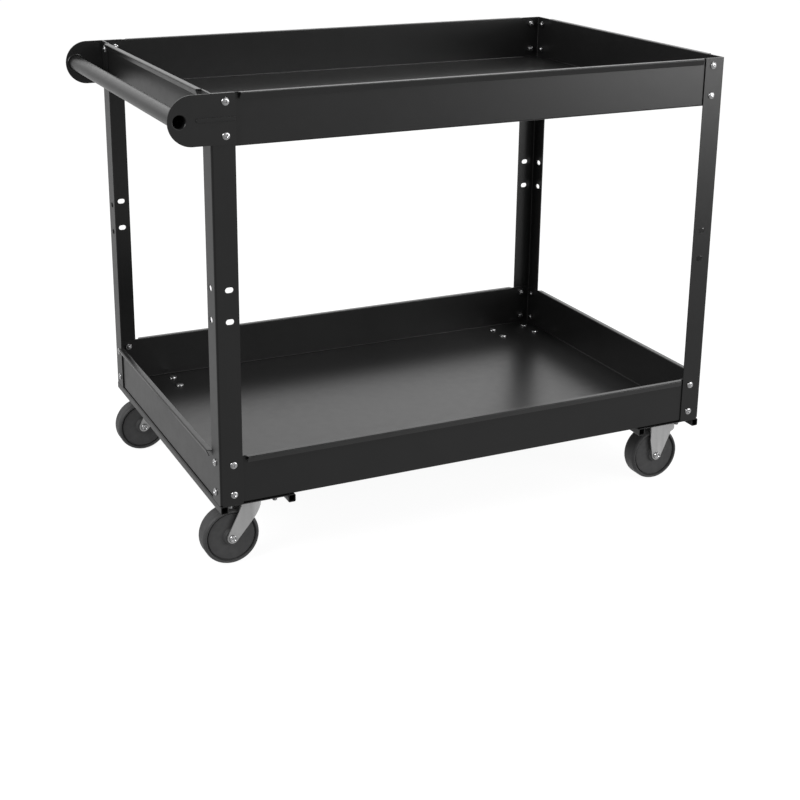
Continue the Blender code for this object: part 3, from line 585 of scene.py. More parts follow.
def wheel_rubber():
    """Moulded dark grey rubber with a fine grain and faint scuffs."""
    return surface(
        "wheel_rubber",
        metallic=0.0,
        specular=0.4,
        mottle=(90, 5, (1, 1, 1), 0.35, 0.7),
        colours=((0.055, 0.055, 0.056), (0.070, 0.070, 0.071)),
        rubbed=None,
        roughness=(220, 3, 0.48, 0.60),
        grain=(1600, 0.15, 0.00010),
    )


# ---------------------------------------------------------------- posts
def screw_heights():
    heights = []
    for rim in (CART_TOP, DECK + TRAY_HEIGHT):
        heights += [rim - SCREW_DROP, rim - SCREW_DROP - SCREW_PITCH]
    return heights


def post_mesh():
    """An angle post with its fold at the origin and its flanges along +X and +Y, standing on Z = 0."""
    outline = [(POST_FLANGE, 0)]
    outline += arc((POST_BEND, POST_BEND), POST_BEND, 270, 180, 8)
    outline += [(0, POST_FLANGE), (POST_SHEET, POST_FLANGE)]
    outline += arc((POST_BEND, POST_BEND), POST_BEND - POST_SHEET, 180, 270, 8)
    outline += [(POST_FLANGE, POST_SHEET)]
    post = moved(flat_mesh("post", [outline], POST_LENGTH), (0, 0, POST_LENGTH / 2))
    reach = 4 * POST_SHEET
    hole = prism_mesh("screw_hole", SCREW_HOLE_RADIUS, reach, FINE // 2)
    straight = (SLOT_LENGTH - SLOT_WIDTH) / 2
    ends = arc((straight, 0), SLOT_WIDTH / 2, -90, 90, 14)
    ends += arc((-straight, 0), SLOT_WIDTH / 2, 90, 270, 14)
    slot = flat_mesh("slot", [ends], reach)
    through_side = turn_about("X", 90)
    through_end = turn_about("Y", 90)
    cutters = []
    for height in screw_heights():
        cutters.append(moved(hole, (SCREW_LINE, 0, height - DECK), through_side))
        cutters.append(moved(hole, (0, SCREW_LINE, height - DECK), through_end))
    for height in SLOT_HEIGHTS:
        cutters.append(moved(slot, (SCREW_LINE, 0, height), through_side))
        cutters.append(moved(slot, (0, SCREW_LINE, height), through_end @ turn_about("Z", 90)))
    cutters.append(foot_clip_mesh())
    return softened(combined(post, "DIFFERENCE", cutters))


def foot_clip_mesh():
    """Takes the fold's foot off at a slant on both flanges."""
    size = 8 * POST_FOOT_CLIP
    block = box_mesh("foot_clip", (-size / 2,) * 3, (size / 2,) * 3)
    diagonal = Vector((1, 1, 1)).normalized()
    slant = diagonal.rotation_difference(Vector((0, 0, 1))).inverted().to_matrix().to_4x4()
    depth = 2 * POST_FOOT_CLIP / math.sqrt(3)
    return moved(block, diagonal * (depth - size / 2), slant)


def add_posts():
    mesh = post_mesh()
    turns = {"front_left": 0, "front_right": 90, "back_right": 180, "back_left": 270}
    for corner, (side_x, side_y) in CORNERS.items():
        place = (MIDDLE_X + side_x * HALF_LENGTH, side_y * HALF_WIDTH, DECK)
        node = f"post_{corner}"
        turn = turn_about("Z", turns[corner])
        add_piece(f"{node}_sheet", mesh, COAT, "chassis", place, turn, [node])


# ---------------------------------------------------------------- trays
def tray_mesh(name, floor_holes):
    """A tray with its floor's underside on Z = 0, folded corners, and rims turned out and down."""
    half_length = HALF_LENGTH - TRAY_INSET
    half_width = HALF_WIDTH - TRAY_INSET
    shape = bmesh.new()
    bmesh.ops.create_cube(shape, size=1)
    bmesh.ops.scale(shape, verts=shape.verts, vec=(2 * half_length, 2 * half_width, TRAY_HEIGHT))
    bmesh.ops.translate(shape, verts=shape.verts, vec=(0, 0, TRAY_HEIGHT / 2))
    lids = [face for face in shape.faces if face.normal.z > 0.5]
    bmesh.ops.delete(shape, geom=lids, context="FACES")
    folds = [edge for edge in shape.edges if not edge.is_boundary]
    bmesh.ops.bevel(shape, geom=folds, offset=TRAY_BEND, segments=5, profile=0.5, affect="EDGES")
    holder = held(stored(name, shape))
    solidify = holder.modifiers.new("sheet", "SOLIDIFY")
    solidify.thickness = TRAY_SHEET
    solidify.offset = -1
    solidify.use_even_offset = True
    tub = baked(holder)
    rims, notches = rim_meshes(half_length, half_width)
    tub = combined(tub, "DIFFERENCE", notches + tray_holes(half_length, half_width, floor_holes))
    return softened(combined(tub, "UNION", rims))


def rim_meshes(half_length, half_width):
    """The four rims, shorter at their outer edges, and the notches in the walls that they stand in."""
    line = rounded([
        (-TRAY_SHEET, -RIM_ROOT),
        (-TRAY_SHEET, 0, RIM_BEND),
        (RIM_REACH, 0, RIM_BEND),
        (RIM_REACH - RIM_TUCK, -RIM_DROP),
    ])
    rims, notches = [], []
    for turn in range(4):
        across = turn % 2
        wall = half_length if across else half_width
        post_line = HALF_WIDTH if across else HALF_LENGTH
        half = post_line - POST_FLANGE - RIM_START
        rim = flat_mesh("rim", [strip_outline(line, -TRAY_SHEET)], 2 * half)
        for vert in rim.vertices:
            vert.co.z -= math.copysign(RIM_END_SLANT * max(vert.co.x, 0) / RIM_REACH, vert.co.z)
        outward = turn_about("Z", 90 * turn - 90)
        offset = outward @ Vector((wall, 0, TRAY_HEIGHT))
        rims.append(moved(rim, offset, outward @ turn_about("X", 90)))
        low = (-2 * TRAY_SHEET, -half, GAP - RIM_ROOT)
        high = (TRAY_SHEET, half, TRAY_SHEET)
        notches.append(moved(box_mesh("notch", low, high), offset, outward))
    return rims, notches


def tray_holes(half_length, half_width, floor_holes):
    reach = 6 * TRAY_SHEET
    hole = prism_mesh("wall_hole", SCREW_HOLE_RADIUS, reach, FINE // 2)
    cutters = []
    for side_x, side_y in CORNERS.values():
        for drop in (SCREW_DROP, SCREW_DROP + SCREW_PITCH):
            height = TRAY_HEIGHT - drop
            along_x = side_x * (HALF_LENGTH - SCREW_LINE)
            along_y = side_y * (HALF_WIDTH - SCREW_LINE)
            cutters.append(moved(hole, (along_x, side_y * half_width, height), turn_about("X", 90)))
            cutters.append(moved(hole, (side_x * half_length, along_y, height), turn_about("Y", 90)))
    bolt_hole = prism_mesh("bolt_hole", BOLT_HOLE_RADIUS, reach, FINE // 2)
    for x, y in floor_holes:
        cutters.append(moved(bolt_hole, (x, y, 0)))
    return cutters


def bolt_offsets():
    """The four bolts of a caster plate, from its middle."""
    return [(x * BOLT_SPACING_X, y * BOLT_SPACING_Y) for x in (-0.5, 0.5) for y in (-0.5, 0.5)]


def add_trays():
    floor_holes = []
    for side_x, side_y in CORNERS.values():
        floor_holes += [(side_x * CASTER_X + x, side_y * CASTER_Y + y) for x, y in bolt_offsets()]
    upper = tray_mesh("upper_tray", [])
    lower = tray_mesh("lower_tray", floor_holes)
    add_piece("top_tray_sheet", upper, COAT, "chassis", (MIDDLE_X, 0, TRAY_LOW.z), None, ["top_tray"])
    place = (MIDDLE_X, 0, LOWER_TRAY_LOW.z)
    add_piece("bottom_tray_sheet", lower, COAT, "chassis", place, None, ["bottom_tray"])


# ---------------------------------------------------------------- fasteners
def head_profile(radius, height, flatness=2.5, steps=10):
    """Half of a pan head, from its top at Z = 0 to its outer edge, as a superellipse."""
    points = []
    for step in range(steps + 1):
        angle = QUARTER * step / steps
        across = math.sin(angle) ** (2 / flatness)
        rise = max(math.cos(angle), 0) ** (2 / flatness)
        points.append((radius * across, height * (rise - 1)))
    return points


def recess_mesh(width, depth):
    """A cross recess with tapering wings, cut down from Z = 0."""
    half = width / 2
    wings = []
    for turn in (0, 90):
        wing = box_mesh("wing", (-half, -RECESS_WING * half, -depth), (half, RECESS_WING * half, depth / 2))
        for vert in wing.vertices:
            if vert.co.z < 0:
                vert.co.x *= RECESS_TAPER[0]
                vert.co.y *= RECESS_TAPER[1]
        wings.append(moved(wing, turn=turn_about("Z", turn)))
    return wings


def nut_mesh(radius, height, top):
    """A hexagon nut with both faces chamfered, its upper face at Z = top. radius is over the corners."""
    chamfer = NUT_CHAMFER * radius
    barrel = [
        (0, height / 2),
        (radius - chamfer, height / 2),
        (radius, height / 2 - 0.5 * chamfer),
        (radius, 0.5 * chamfer - height / 2),
        (radius - chamfer, -height / 2),
        (0, -height / 2),
    ]
    hexagon = prism_mesh("nut", radius, height, 6)
    nut = combined(hexagon, "INTERSECT", [turned_mesh("barrel", barrel, FINE)])
    return moved(nut, (0, 0, top - height / 2))


def threaded(radius, start, end):
    """Profile of a thread's crests and roots from one height down to another."""
    turns = max(1, round((start - end) / THREAD_PITCH))
    points = []
    for step in range(turns):
        height = start - (start - end) * step / turns
        half = (start - end) / turns / 2
        points += [(radius, height), (THREAD_ROOT * radius, height - half)]
    return points + [(radius, end + TIP_CHAMFER / 2), (radius - TIP_CHAMFER, end)]


def fastener_mesh(name, length, head_radius, head_height, radius, nut_radius, nut_height, nut_end, recess):
    """A domed screw from Z = 0 down, its nut nut_end short of its tip. A recess of 0 leaves it plain."""
    nut_low = nut_end - length
    profile = head_profile(head_radius, head_height)
    profile += [(radius, -head_height), (radius, nut_low)]
    profile += threaded(radius, nut_low - 0.0001, -length)
    profile += [(0, -length)]
    screw = turned_mesh(name, profile, FINE)
    if recess:
        screw = combined(screw, "DIFFERENCE", recess_mesh(recess, RECESS_DEPTH * head_height))
    screw = combined(screw, "UNION", [nut_mesh(nut_radius, nut_height, nut_low + nut_height)])
    return smooth(screw, 28)


def add_screws():
    """The trays' screws: each stands on its node's axis, head outwards, turned by its own angle."""
    meshes = {}
    names = sorted(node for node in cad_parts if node.startswith("screw_"))
    for index, node in enumerate(names):
        low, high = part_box(node)
        middle = (low + high) / 2
        side = "_side_" in node
        axis = 1 if side else 0
        length = high[axis] - low[axis]
        sign = -1 if middle[axis] < (0 if side else MIDDLE_X) else 1
        place = middle.copy()
        place[axis] += sign * length / 2
        key = round(length, 5)
        if key not in meshes:
            meshes[key] = fastener_mesh("screw", length, **SCREW)
        outward = turn_about("X", -90 * sign) if side else turn_about("Y", 90 * sign)
        spin = turn_about("Z", 137.5 * index)
        add_piece(f"{node}_zinc", meshes[key], ZINC, "chassis", place, outward @ spin, [node])


def add_caster_bolts():
    """Sixteen bolts, heads on the lower tray's floor."""
    length = PLATE_HIGH.z - PLATE_LOW.z
    mesh = fastener_mesh("caster_bolt", length, **CASTER_BOLT)
    for corner, (side_x, side_y) in CORNERS.items():
        for index, (x, y) in enumerate(bolt_offsets()):
            place = (MIDDLE_X + side_x * CASTER_X + x, side_y * CASTER_Y + y, PLATE_HIGH.z)
            spin = turn_about("Z", 51 * index + 17 * side_x * side_y)
            add_piece(f"caster_bolt_{corner}_{index + 1}", mesh, ZINC, "chassis", place, spin)


# ---------------------------------------------------------------- handle
def bracket_mesh():
    """A handle plate seen from outside: X towards the posts, Y up, its inner face on Z = 0, outside at +Z."""
    radius = BRACKET_HEIGHT / 2
    straight = BRACKET_HIGH.x - BRACKET_LOW.x - radius
    outline = arc((0, 0), radius, 90, 270, 64) + [(straight, -radius), (straight, radius)]
    hole_x = HANDLE_MIDDLE.x - BRACKET_LOW.x - radius
    collar_radius = HANDLE_RADIUS - HANDLE_WALL - RUNNING_GAP
    hole_radius = collar_radius - COLLAR_WALL
    screw_x = straight - POST_FLANGE + SCREW_LINE
    upper = radius - SCREW_DROP
    loops = [outline, circle((hole_x, 0), hole_radius + HOLE_FLARE, FULL // 2)]
    for height in (upper, upper - SCREW_PITCH):
        loops.append(circle((screw_x, height), SCREW_HOLE_RADIUS, FINE // 2))
    plate = moved(flat_mesh("bracket", loops, BRACKET_SHEET), (0, 0, BRACKET_SHEET / 2))
    collar_profile = rounded([
        (hole_radius + HOLE_FLARE + GAP, BRACKET_SHEET),
        (hole_radius + 0.6 * HOLE_FLARE, BRACKET_SHEET - 0.0002, 0.0010),
        (hole_radius, BRACKET_SHEET - HOLE_FLARE, 0.0014),
        (hole_radius, 0.0004 - COLLAR_DEPTH, 0.0003),
        (hole_radius + 0.0005, -COLLAR_DEPTH),
        (collar_radius - 0.0004, -COLLAR_DEPTH),
        (collar_radius, 0.0004 - COLLAR_DEPTH),
        (collar_radius, 0),
        (hole_radius + HOLE_FLARE + GAP, 0),
    ])
    collar = moved(turned_mesh("collar", collar_profile, FULL // 2, closed=True), (hole_x, 0, 0))
    bead_inner = HANDLE_RADIUS + RUNNING_GAP
    bead_profile = [
        (bead_inner, GAP),
        (bead_inner, 0.0003 - BEAD_HEIGHT),
        (bead_inner + 0.0003, -BEAD_HEIGHT),
        (bead_inner + BEAD_WIDTH - 0.0007, -BEAD_HEIGHT),
        (bead_inner + BEAD_WIDTH, 0.0006 - BEAD_HEIGHT),
        (bead_inner + BEAD_WIDTH, GAP),
    ]
    bead = moved(turned_mesh("bead", bead_profile, FULL // 2, closed=True), (hole_x, 0, 0))
    pressed = combined(plate, "UNION", [collar, bead, rib_mesh(straight, radius)])
    return softened(pressed, EDGE, 2, 40)


def rib_mesh(straight, radius):
    """The pressed rib: a long bar with one round end and rounded shoulders."""
    start = RIB_START - radius + RIB_WIDTH / 2
    outline = arc((start, 0), RIB_WIDTH / 2, 90, 270, 16)
    outline += [(straight - GAP, -RIB_WIDTH / 2), (straight - GAP, RIB_WIDTH / 2)]
    depth = RIB_HEIGHT + BRACKET_SHEET / 2
    bar = flat_mesh("rib", [outline], depth)
    shape = bmesh.new()
    shape.from_mesh(bar)
    shoulders = []
    for edge in shape.edges:
        if all(vert.co.z > 0 for vert in edge.verts):
            shoulders.append(edge)
    bmesh.ops.bevel(shape, geom=shoulders, offset=0.4 * RIB_HEIGHT, segments=3, profile=0.5, affect="EDGES")
    shape.to_mesh(bar)
    shape.free()
    return moved(bar, (0, 0, BRACKET_SHEET / 2 + depth / 2))


def tube_mesh():
    half = TUBE_HIGH.y
    inner = HANDLE_RADIUS - HANDLE_WALL
    lip = 0.0004
    profile = [
        (HANDLE_RADIUS - lip, half),
        (HANDLE_RADIUS, half - lip),
        (HANDLE_RADIUS, lip - half),
        (HANDLE_RADIUS - lip, -half),
        (inner, -half),
        (inner, half),
    ]
    return smooth(turned_mesh("handle_tube", profile, FULL, closed=True), 30)


def add_handle():
    mesh = bracket_mesh()
    middle = (BRACKET_LOW.x + BRACKET_HEIGHT / 2, HALF_WIDTH + GAP, (BRACKET_LOW.z + BRACKET_HIGH.z) / 2)
    front = (middle[0], -middle[1], middle[2])
    node = "handle_bracket_front"
    add_piece(f"{node}_plate", mesh, COAT, "chassis", front, turn_about("X", 90), [node])
    node = "handle_bracket_back"
    add_piece(f"{node}_plate", mesh, COAT, "chassis", middle, turn_about("X", -90), [node])
    node = "handle_tube"
    add_piece(f"{node}_coated", tube_mesh(), COAT, "chassis", HANDLE_MIDDLE, turn_about("X", 90), [node])


# ---------------------------------------------------------------- caster channels
def channel_mesh():
    """A web with a boxed hem down each side, seen along Y, hanging from Z = 0."""
    half = CHANNEL_WIDTH / 2
    lip = CHANNEL_DEPTH - CHANNEL_SHEET - GAP
    line = rounded([
        (-half + HEM_WIDTH, -CHANNEL_DEPTH + lip),
        (-half + HEM_WIDTH, -CHANNEL_DEPTH, CHANNEL_BEND),
        (-half, -CHANNEL_DEPTH, CHANNEL_BEND),
        (-half, 0, CHANNEL_BEND),
        (half, 0, CHANNEL_BEND),
        (half, -CHANNEL_DEPTH, CHANNEL_BEND),
        (half - HEM_WIDTH, -CHANNEL_DEPTH, CHANNEL_BEND),
        (half - HEM_WIDTH, -CHANNEL_DEPTH + lip),
    ], 4)
    folded = flat_mesh("channel", [strip_outline(line, -CHANNEL_SHEET)], CHANNEL_HIGH.y - CHANNEL_LOW.y)
    folded.transform(turn_about("X", 90))
    hole = prism_mesh("bolt_hole", BOLT_HOLE_RADIUS, 4 * CHANNEL_SHEET, FINE // 2)
    cutters = []
    for side_y in (-1, 1):
        cutters += [moved(hole, (x, side_y * CASTER_Y + y, 0)) for x, y in bolt_offsets()]
    return softened(combined(folded, "DIFFERENCE", cutters))


def add_channels():
    mesh = channel_mesh()
    for side, sign in (("left", -1), ("right", 1)):
        node = f"caster_channel_{side}"
        place = (MIDDLE_X + sign * CASTER_X, 0, CHANNEL_HIGH.z)
        add_piece(f"{node}_sheet", mesh, COAT, "chassis", place, None, [node])


# ---------------------------------------------------------------- casters
PLATE_TOP = CHANNEL_HIGH.z - CHANNEL_SHEET - GAP
PLATE_BOTTOM = PLATE_TOP - PLATE_SHEET
RACE_BOTTOM = PLATE_BOTTOM - RACE_HEIGHT
CUP_TOP = FORK_HIGH.z
BALL_HEIGHT = (BALLS_LOW.z + BALLS_HIGH.z) / 2
CROWN_TOP = BALLS_LOW.z - GAP
CROWN_BOTTOM = CROWN_TOP - FORK_SHEET
FORK_INNER = FORK_OUTER - FORK_SHEET


def plate_mesh(name):
    """A caster's top plate with its bolt holes, in its own height, centred on the Z axis."""
    outline = []
    for sign_x, sign_y, start in ((1, 1, 0), (-1, 1, 90), (-1, -1, 180), (1, -1, 270)):
        centre = (sign_x * (PLATE_LENGTH / 2 - PLATE_CORNER), sign_y * (PLATE_WIDTH / 2 - PLATE_CORNER))
        outline += arc(centre, PLATE_CORNER, start, start + 90, 10)
    loops = [outline] + [circle(place, BOLT_HOLE_RADIUS, FINE // 2) for place in bolt_offsets()]
    return moved(flat_mesh(name, loops, PLATE_SHEET), (0, 0, PLATE_BOTTOM + PLATE_SHEET / 2))


def race_mesh():
    """The upper race, dished for its balls, and the kingpin with its riveted head."""
    race_radius = BALL_CIRCLE + BALL_RADIUS
    head_top = CROWN_BOTTOM - GAP
    profile = rounded([
        (0, PLATE_BOTTOM + PLATE_SHEET / 2),
        (race_radius, PLATE_BOTTOM + PLATE_SHEET / 2),
        (race_radius, RACE_BOTTOM, 0.0006),
        (KINGPIN_RADIUS, RACE_BOTTOM),
        (KINGPIN_RADIUS, head_top),
        (KINGPIN_HEAD_RADIUS, head_top),
        (KINGPIN_HEAD_RADIUS, head_top - 0.4 * KINGPIN_HEAD_HEIGHT, 0.0010),
        (0.5 * KINGPIN_HEAD_RADIUS, head_top - KINGPIN_HEAD_HEIGHT, 0.0015),
        (0, head_top - KINGPIN_HEAD_HEIGHT),
    ], 4)
    return turned_mesh("race", profile, FINE)


def fork_walls_mesh(name, side_outline, front, rear, top):
    """Both fork legs and the round skirt that joins them, kept where they lie inside the side outline."""
    line = [(rear, FORK_OUTER)] + arc((front, 0), FORK_OUTER, 90, -90, 40) + [(rear, -FORK_OUTER)]
    walls = moved(flat_mesh(name, [strip_outline(line, -FORK_SHEET)], 2 * top), (0, 0, top / 2))
    side = flat_mesh("side", [side_outline], 4 * FORK_OUTER)
    side.transform(turn_about("X", 90))
    return combined(walls, "INTERSECT", [side])


def axle_hole(x):
    hole = prism_mesh("axle_hole", AXLE_RADIUS + RUNNING_GAP, 4 * FORK_OUTER, FINE // 2)
    return moved(hole, (x, 0, AXLE_HEIGHT), turn_about("X", 90))


def swivel_fork_mesh():
    """The fork that turns on the kingpin. The swivel axis is the Z axis and the axle lies behind it."""
    axle = (-TRAIL, AXLE_HEIGHT)
    front = FORK_OUTER + GAP
    skirt = (front, AXLE_HEIGHT + SWIVEL_SKIRT_RISE)
    rear_top = (-SWIVEL_BACK, CROWN_TOP)
    start = tangent_angle(axle, FORK_END_RADIUS, skirt, -1)
    end = tangent_angle(axle, FORK_END_RADIUS, rear_top, 1) - 360
    outline = arc(axle, FORK_END_RADIUS, start, end, 28) + [rear_top, (front, CROWN_TOP), skirt]
    walls = fork_walls_mesh("swivel_fork", outline, 0, -TRAIL - 2 * FORK_END_RADIUS, CROWN_TOP)
    crown_radius = BALL_CIRCLE + BALL_RADIUS + RACE_PLAY + RUNNING_GAP + CUP_WALL
    cup_radius = crown_radius - CUP_WALL
    hole_radius = KINGPIN_RADIUS + RUNNING_GAP
    profile = rounded([
        (cup_radius, CROWN_TOP),
        (cup_radius, CUP_TOP),
        (crown_radius, CUP_TOP, 0.0007),
        (crown_radius, CROWN_BOTTOM),
        (hole_radius, CROWN_BOTTOM),
        (hole_radius, CROWN_TOP),
        (cup_radius - GAP, CROWN_TOP),
    ], 4)
    crown = turned_mesh("crown", profile, FULL // 2, closed=True)
    half = FORK_OUTER - GAP
    outline = [(GAP - SWIVEL_BACK, -half), (0, -half), (0, half), (GAP - SWIVEL_BACK, half)]
    bridge = moved(flat_mesh("bridge", [outline], FORK_SHEET - GAP), (0, 0, CROWN_TOP - FORK_SHEET / 2))
    plug = prism_mesh("plug", crown_radius - CUP_WALL / 2, 4 * FORK_SHEET, FULL // 2)
    bridge = combined(bridge, "DIFFERENCE", [moved(plug, (0, 0, CROWN_TOP))])
    fork = combined(walls, "UNION", [crown, bridge])
    return softened(combined(fork, "DIFFERENCE", [axle_hole(-TRAIL)]))


def rigid_fork_mesh():
    """A plate and a fixed fork in one piece. The axle is on the Z axis."""
    axle = (0, AXLE_HEIGHT)
    top = PLATE_BOTTOM + PLATE_SHEET / 2
    front = RIGID_FRONT + FORK_OUTER + GAP
    rear_knee = (-RIGID_BACK, AXLE_HEIGHT + RIGID_BACK_RISE)
    knee = (RIGID_KNEE, AXLE_HEIGHT + RIGID_KNEE_RISE)
    start = tangent_angle(axle, FORK_END_RADIUS, knee, -1)
    end = tangent_angle(axle, FORK_END_RADIUS, rear_knee, 1) - 360
    outline = arc(axle, FORK_END_RADIUS, start, end, 28)
    outline += [rear_knee, (-RIGID_BACK, top), (front, top), (front, AXLE_HEIGHT + RIGID_SKIRT_RISE), knee]
    walls = fork_walls_mesh("rigid_fork", outline, RIGID_FRONT, -2 * RIGID_BACK, top)
    fork = combined(plate_mesh("rigid_fork"), "UNION", [walls])
    return softened(combined(fork, "DIFFERENCE", [axle_hole(0)]))


def balls_mesh():
    """Loose balls between the two races."""
    shape = bmesh.new()
    for index in range(BALLS):
        angle = math.tau * index / BALLS
        centre = Matrix.Translation((BALL_CIRCLE * math.cos(angle), BALL_CIRCLE * math.sin(angle), 0))
        bmesh.ops.create_uvsphere(shape, u_segments=16, v_segments=10, radius=BALL_RADIUS, matrix=centre)
    return smooth(stored("balls", shape), 60)


def wheel_mesh():
    """A moulded wheel about Z: round-shouldered tread, raised rim, groove, dished face and hub."""
    face = WHEEL_RIM_HALF - WHEEL_DISH
    groove = face - WHEEL_GROOVE
    bore = SLEEVE_RADIUS + RUNNING_GAP
    half_profile = rounded([
        (bore, 0),
        (bore, HUB_HALF, 0.0006),
        (WHEEL_HUB_RADIUS, HUB_HALF, 0.0012),
        (WHEEL_HUB_RADIUS + WHEEL_HUB_DRAFT, face, 0.0016),
        (FACE_EDGE * WHEEL_RADIUS, face + 0.0003, 0.0008),
        (GROOVE_INNER * WHEEL_RADIUS, groove, 0.0006),
        (GROOVE_OUTER * WHEEL_RADIUS, groove, 0.0006),
        (RIM_INNER * WHEEL_RADIUS, WHEEL_RIM_HALF, 0.0012),
        (RIM_OUTER * WHEEL_RADIUS, WHEEL_RIM_HALF, 0.0030),
        (WHEEL_RADIUS, WHEEL_RIM_HALF - WHEEL_SHOULDER, 0.0040),
        (WHEEL_RADIUS, 0),
    ], 6)[1:-1]
    lower_half = [(radius, -height) for radius, height in half_profile[::-1]]
    return smooth(turned_mesh("wheel", half_profile + lower_half, FULL, closed=True), 40)


def axle_mesh():
    """Axle bolt with its spacer tube and nut, along Z and centred between the fork's legs."""
    head = FORK_OUTER + GAP
    sleeve = FORK_INNER - GAP
    nut_end = -head - AXLE_NUT_HEIGHT
    end = nut_end - AXLE_END
    top = head + AXLE_HEAD_HEIGHT
    profile = rounded([
        (0, top - AXLE_DIMPLE_MIDDLE),
        *((radius, top - depth, rounding) for radius, depth, rounding in AXLE_DIMPLE),
        (AXLE_HEAD_RADIUS - 0.0010, top, 0.0010),
        (AXLE_HEAD_RADIUS, head + 0.5 * AXLE_HEAD_HEIGHT, 0.0012),
        (AXLE_HEAD_RADIUS, head),
        (AXLE_RADIUS, head),
        (AXLE_RADIUS, sleeve),
        (SLEEVE_RADIUS, sleeve),
        (SLEEVE_RADIUS, -sleeve),
        (AXLE_RADIUS, -sleeve),
        (AXLE_RADIUS, nut_end),
    ], 4)
    profile += threaded(AXLE_RADIUS, nut_end - 0.0001, end)
    profile += [(0, end)]
    axle = turned_mesh("axle", profile, FINE)
    nut = nut_mesh(AXLE_HEAD_RADIUS, AXLE_NUT_HEIGHT, -head)
    return smooth(combined(axle, "UNION", [nut]), 28)


def add_casters():
    plate = softened(combined(plate_mesh("swivel_plate"), "UNION", [race_mesh()]))
    swivel_fork = swivel_fork_mesh()
    rigid_fork = rigid_fork_mesh()
    balls = balls_mesh()
    wheel = wheel_mesh()
    axle = axle_mesh()
    for corner, (side_x, side_y) in CORNERS.items():
        pin = Vector((MIDDLE_X + side_x * CASTER_X, side_y * CASTER_Y, 0))
        hub = pin + Vector((0, 0, AXLE_HEIGHT))
        if side_x < 0:
            hub.x -= TRAIL
            fork_body = f"swivel_{corner}"
            node = f"swivel_plate_{corner}"
            add_piece(f"{node}_zinc", plate, SHEET_ZINC, "chassis", pin, None, [node])
            node = f"ball_ring_{corner}"
            place = pin + Vector((0, 0, BALL_HEIGHT))
            add_piece(f"balls_{corner}", balls, ZINC, "chassis", place, None, [node])
            node = f"swivel_fork_{corner}"
            add_piece(f"{node}_zinc", swivel_fork, SHEET_ZINC, fork_body, pin, None, [node])
        else:
            fork_body = "chassis"
            node = f"rigid_fork_{corner}"
            add_piece(f"{node}_zinc", rigid_fork, SHEET_ZINC, fork_body, pin, None, [node])
        node = f"wheel_{corner}"
        add_piece(f"{node}_moulded", wheel, RUBBER, f"wheel_{corner}", hub, turn_about("X", 90), [node])
        node = f"axle_{corner}"
        add_piece(f"{node}_zinc", axle, ZINC, fork_body, hub, turn_about("X", 90), [node])


# ---------------------------------------------------------------- floor, light and camera
def add_floor():
    """A wide pale floor."""
    shape = bmesh.new()
    bmesh.ops.create_grid(shape, x_segments=1, y_segments=1, size=FLOOR_REACH)
    mesh = stored("floor", shape)
    material, nodes, _ = new_material("pale_floor")
    shader = nodes["Principled BSDF"]
    shader.inputs["Base Color"].default_value = (FLOOR_TONE, FLOOR_TONE, FLOOR_TONE, 1)
    shader.inputs["Roughness"].default_value = 0.9
    shader.inputs["Specular IOR Level"].default_value = 0.0
    shader.inputs["Emission Color"].default_value = (1, 1, 1, 1)
    shader.inputs["Emission Strength"].default_value = FLOOR_GLOW
    mesh.materials.append(material)
    floor = bpy.data.objects.new("floor", mesh)
    bpy.context.scene.collection.objects.link(floor)
    floor.location.z = -FLOOR_DROP
    floor.visible_glossy = False
    floor.visible_diffuse = False
    floor.visible_shadow = False


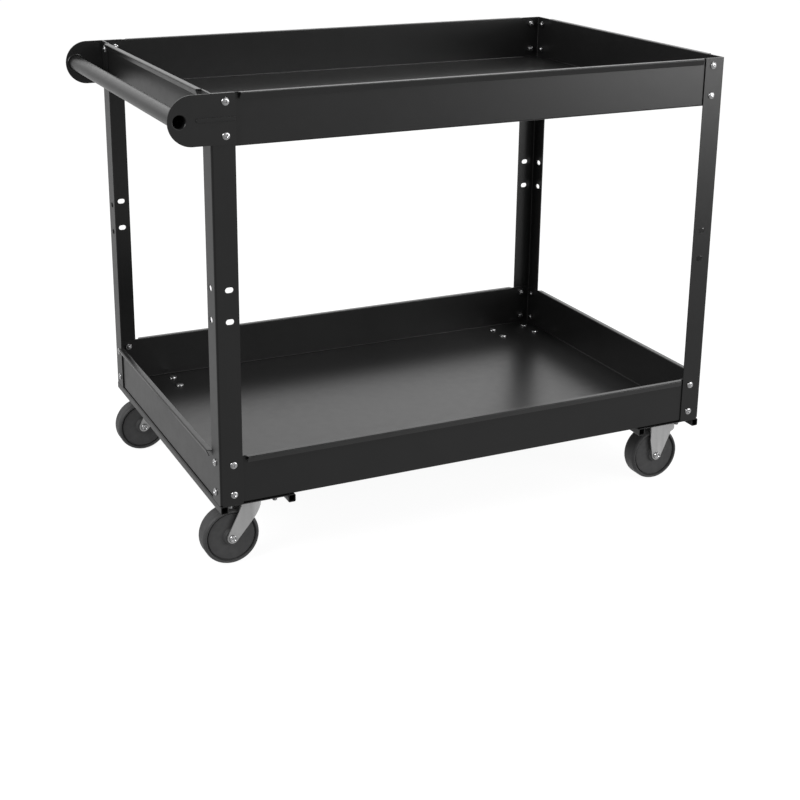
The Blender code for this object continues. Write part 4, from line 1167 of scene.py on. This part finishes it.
def add_surround():
    """A soft studio surround: brightest behind and a little above the horizon, and plain to the camera."""
    world = bpy.data.worlds.new("studio")
    bpy.context.scene.world = world
    world.use_nodes = True
    nodes, links = world.node_tree.nodes, world.node_tree.links
    background = nodes["Background"]
    background.inputs["Color"].default_value = (1, 1, 1, 1)
    coordinates = nodes.new("ShaderNodeTexCoord")
    split = nodes.new("ShaderNodeSeparateXYZ")
    links.new(coordinates.outputs["Generated"], split.inputs["Vector"])
    shade = None
    for axis, low, high, light_low, light_high in SURROUND:
        share = ranged(nodes, links, split.outputs[axis], low, high, light_low, light_high)
        shade = multiplied(nodes, links, shade, share) if shade else share
    paths = nodes.new("ShaderNodeLightPath")
    lit = nodes.new("ShaderNodeMix")
    links.new(paths.outputs["Is Camera Ray"], lit.inputs["Factor"])
    links.new(shade, lit.inputs["A"])
    lit.inputs["B"].default_value = BACKDROP_GLOW
    links.new(lit.outputs["Result"], background.inputs["Strength"])


def add_softbox(name, place, target, size, power):
    light = bpy.data.lights.new(name, "AREA")
    light.shape = "RECTANGLE"
    light.size, light.size_y = size
    light.energy = power
    lamp = bpy.data.objects.new(name, light)
    bpy.context.scene.collection.objects.link(lamp)
    lamp.location = place
    lamp.visible_camera = False
    lamp.rotation_euler = (Vector(target) - Vector(place)).to_track_quat("-Z", "Y").to_euler()


def add_camera():
    """The photograph's view: from the front left, a little above the upper tray."""
    camera = bpy.data.cameras.new("camera")
    camera.lens = CAMERA_LENS
    camera.sensor_width = CAMERA_SENSOR
    camera.shift_x, camera.shift_y = CAMERA_SHIFT
    camera.clip_start = 0.05
    camera.clip_end = 200
    holder = bpy.data.objects.new("camera", camera)
    bpy.context.scene.collection.objects.link(holder)
    level = math.cos(CAMERA_PITCH)
    ahead = Vector((math.sin(CAMERA_YAW) * level, math.cos(CAMERA_YAW) * level, math.sin(CAMERA_PITCH)))
    holder.rotation_mode = "QUATERNION"
    holder.location = CAMERA_PLACE
    roll = Matrix.Rotation(CAMERA_ROLL, 3, "Z").to_quaternion()
    holder.rotation_quaternion = ahead.to_track_quat("-Z", "Y") @ roll
    bpy.context.scene.camera = holder


# ---------------------------------------------------------------- the picture
COAT = powder_coat()
ZINC = bright_zinc()
SHEET_ZINC = dull_zinc()
RUBBER = wheel_rubber()
add_posts()
add_trays()
add_screws()
add_caster_bolts()
add_handle()
add_channels()
add_casters()
add_floor()
add_surround()
for softbox in SOFTBOXES:
    add_softbox(*softbox)
add_camera()
bpy.context.scene.view_settings.view_transform = "Standard"
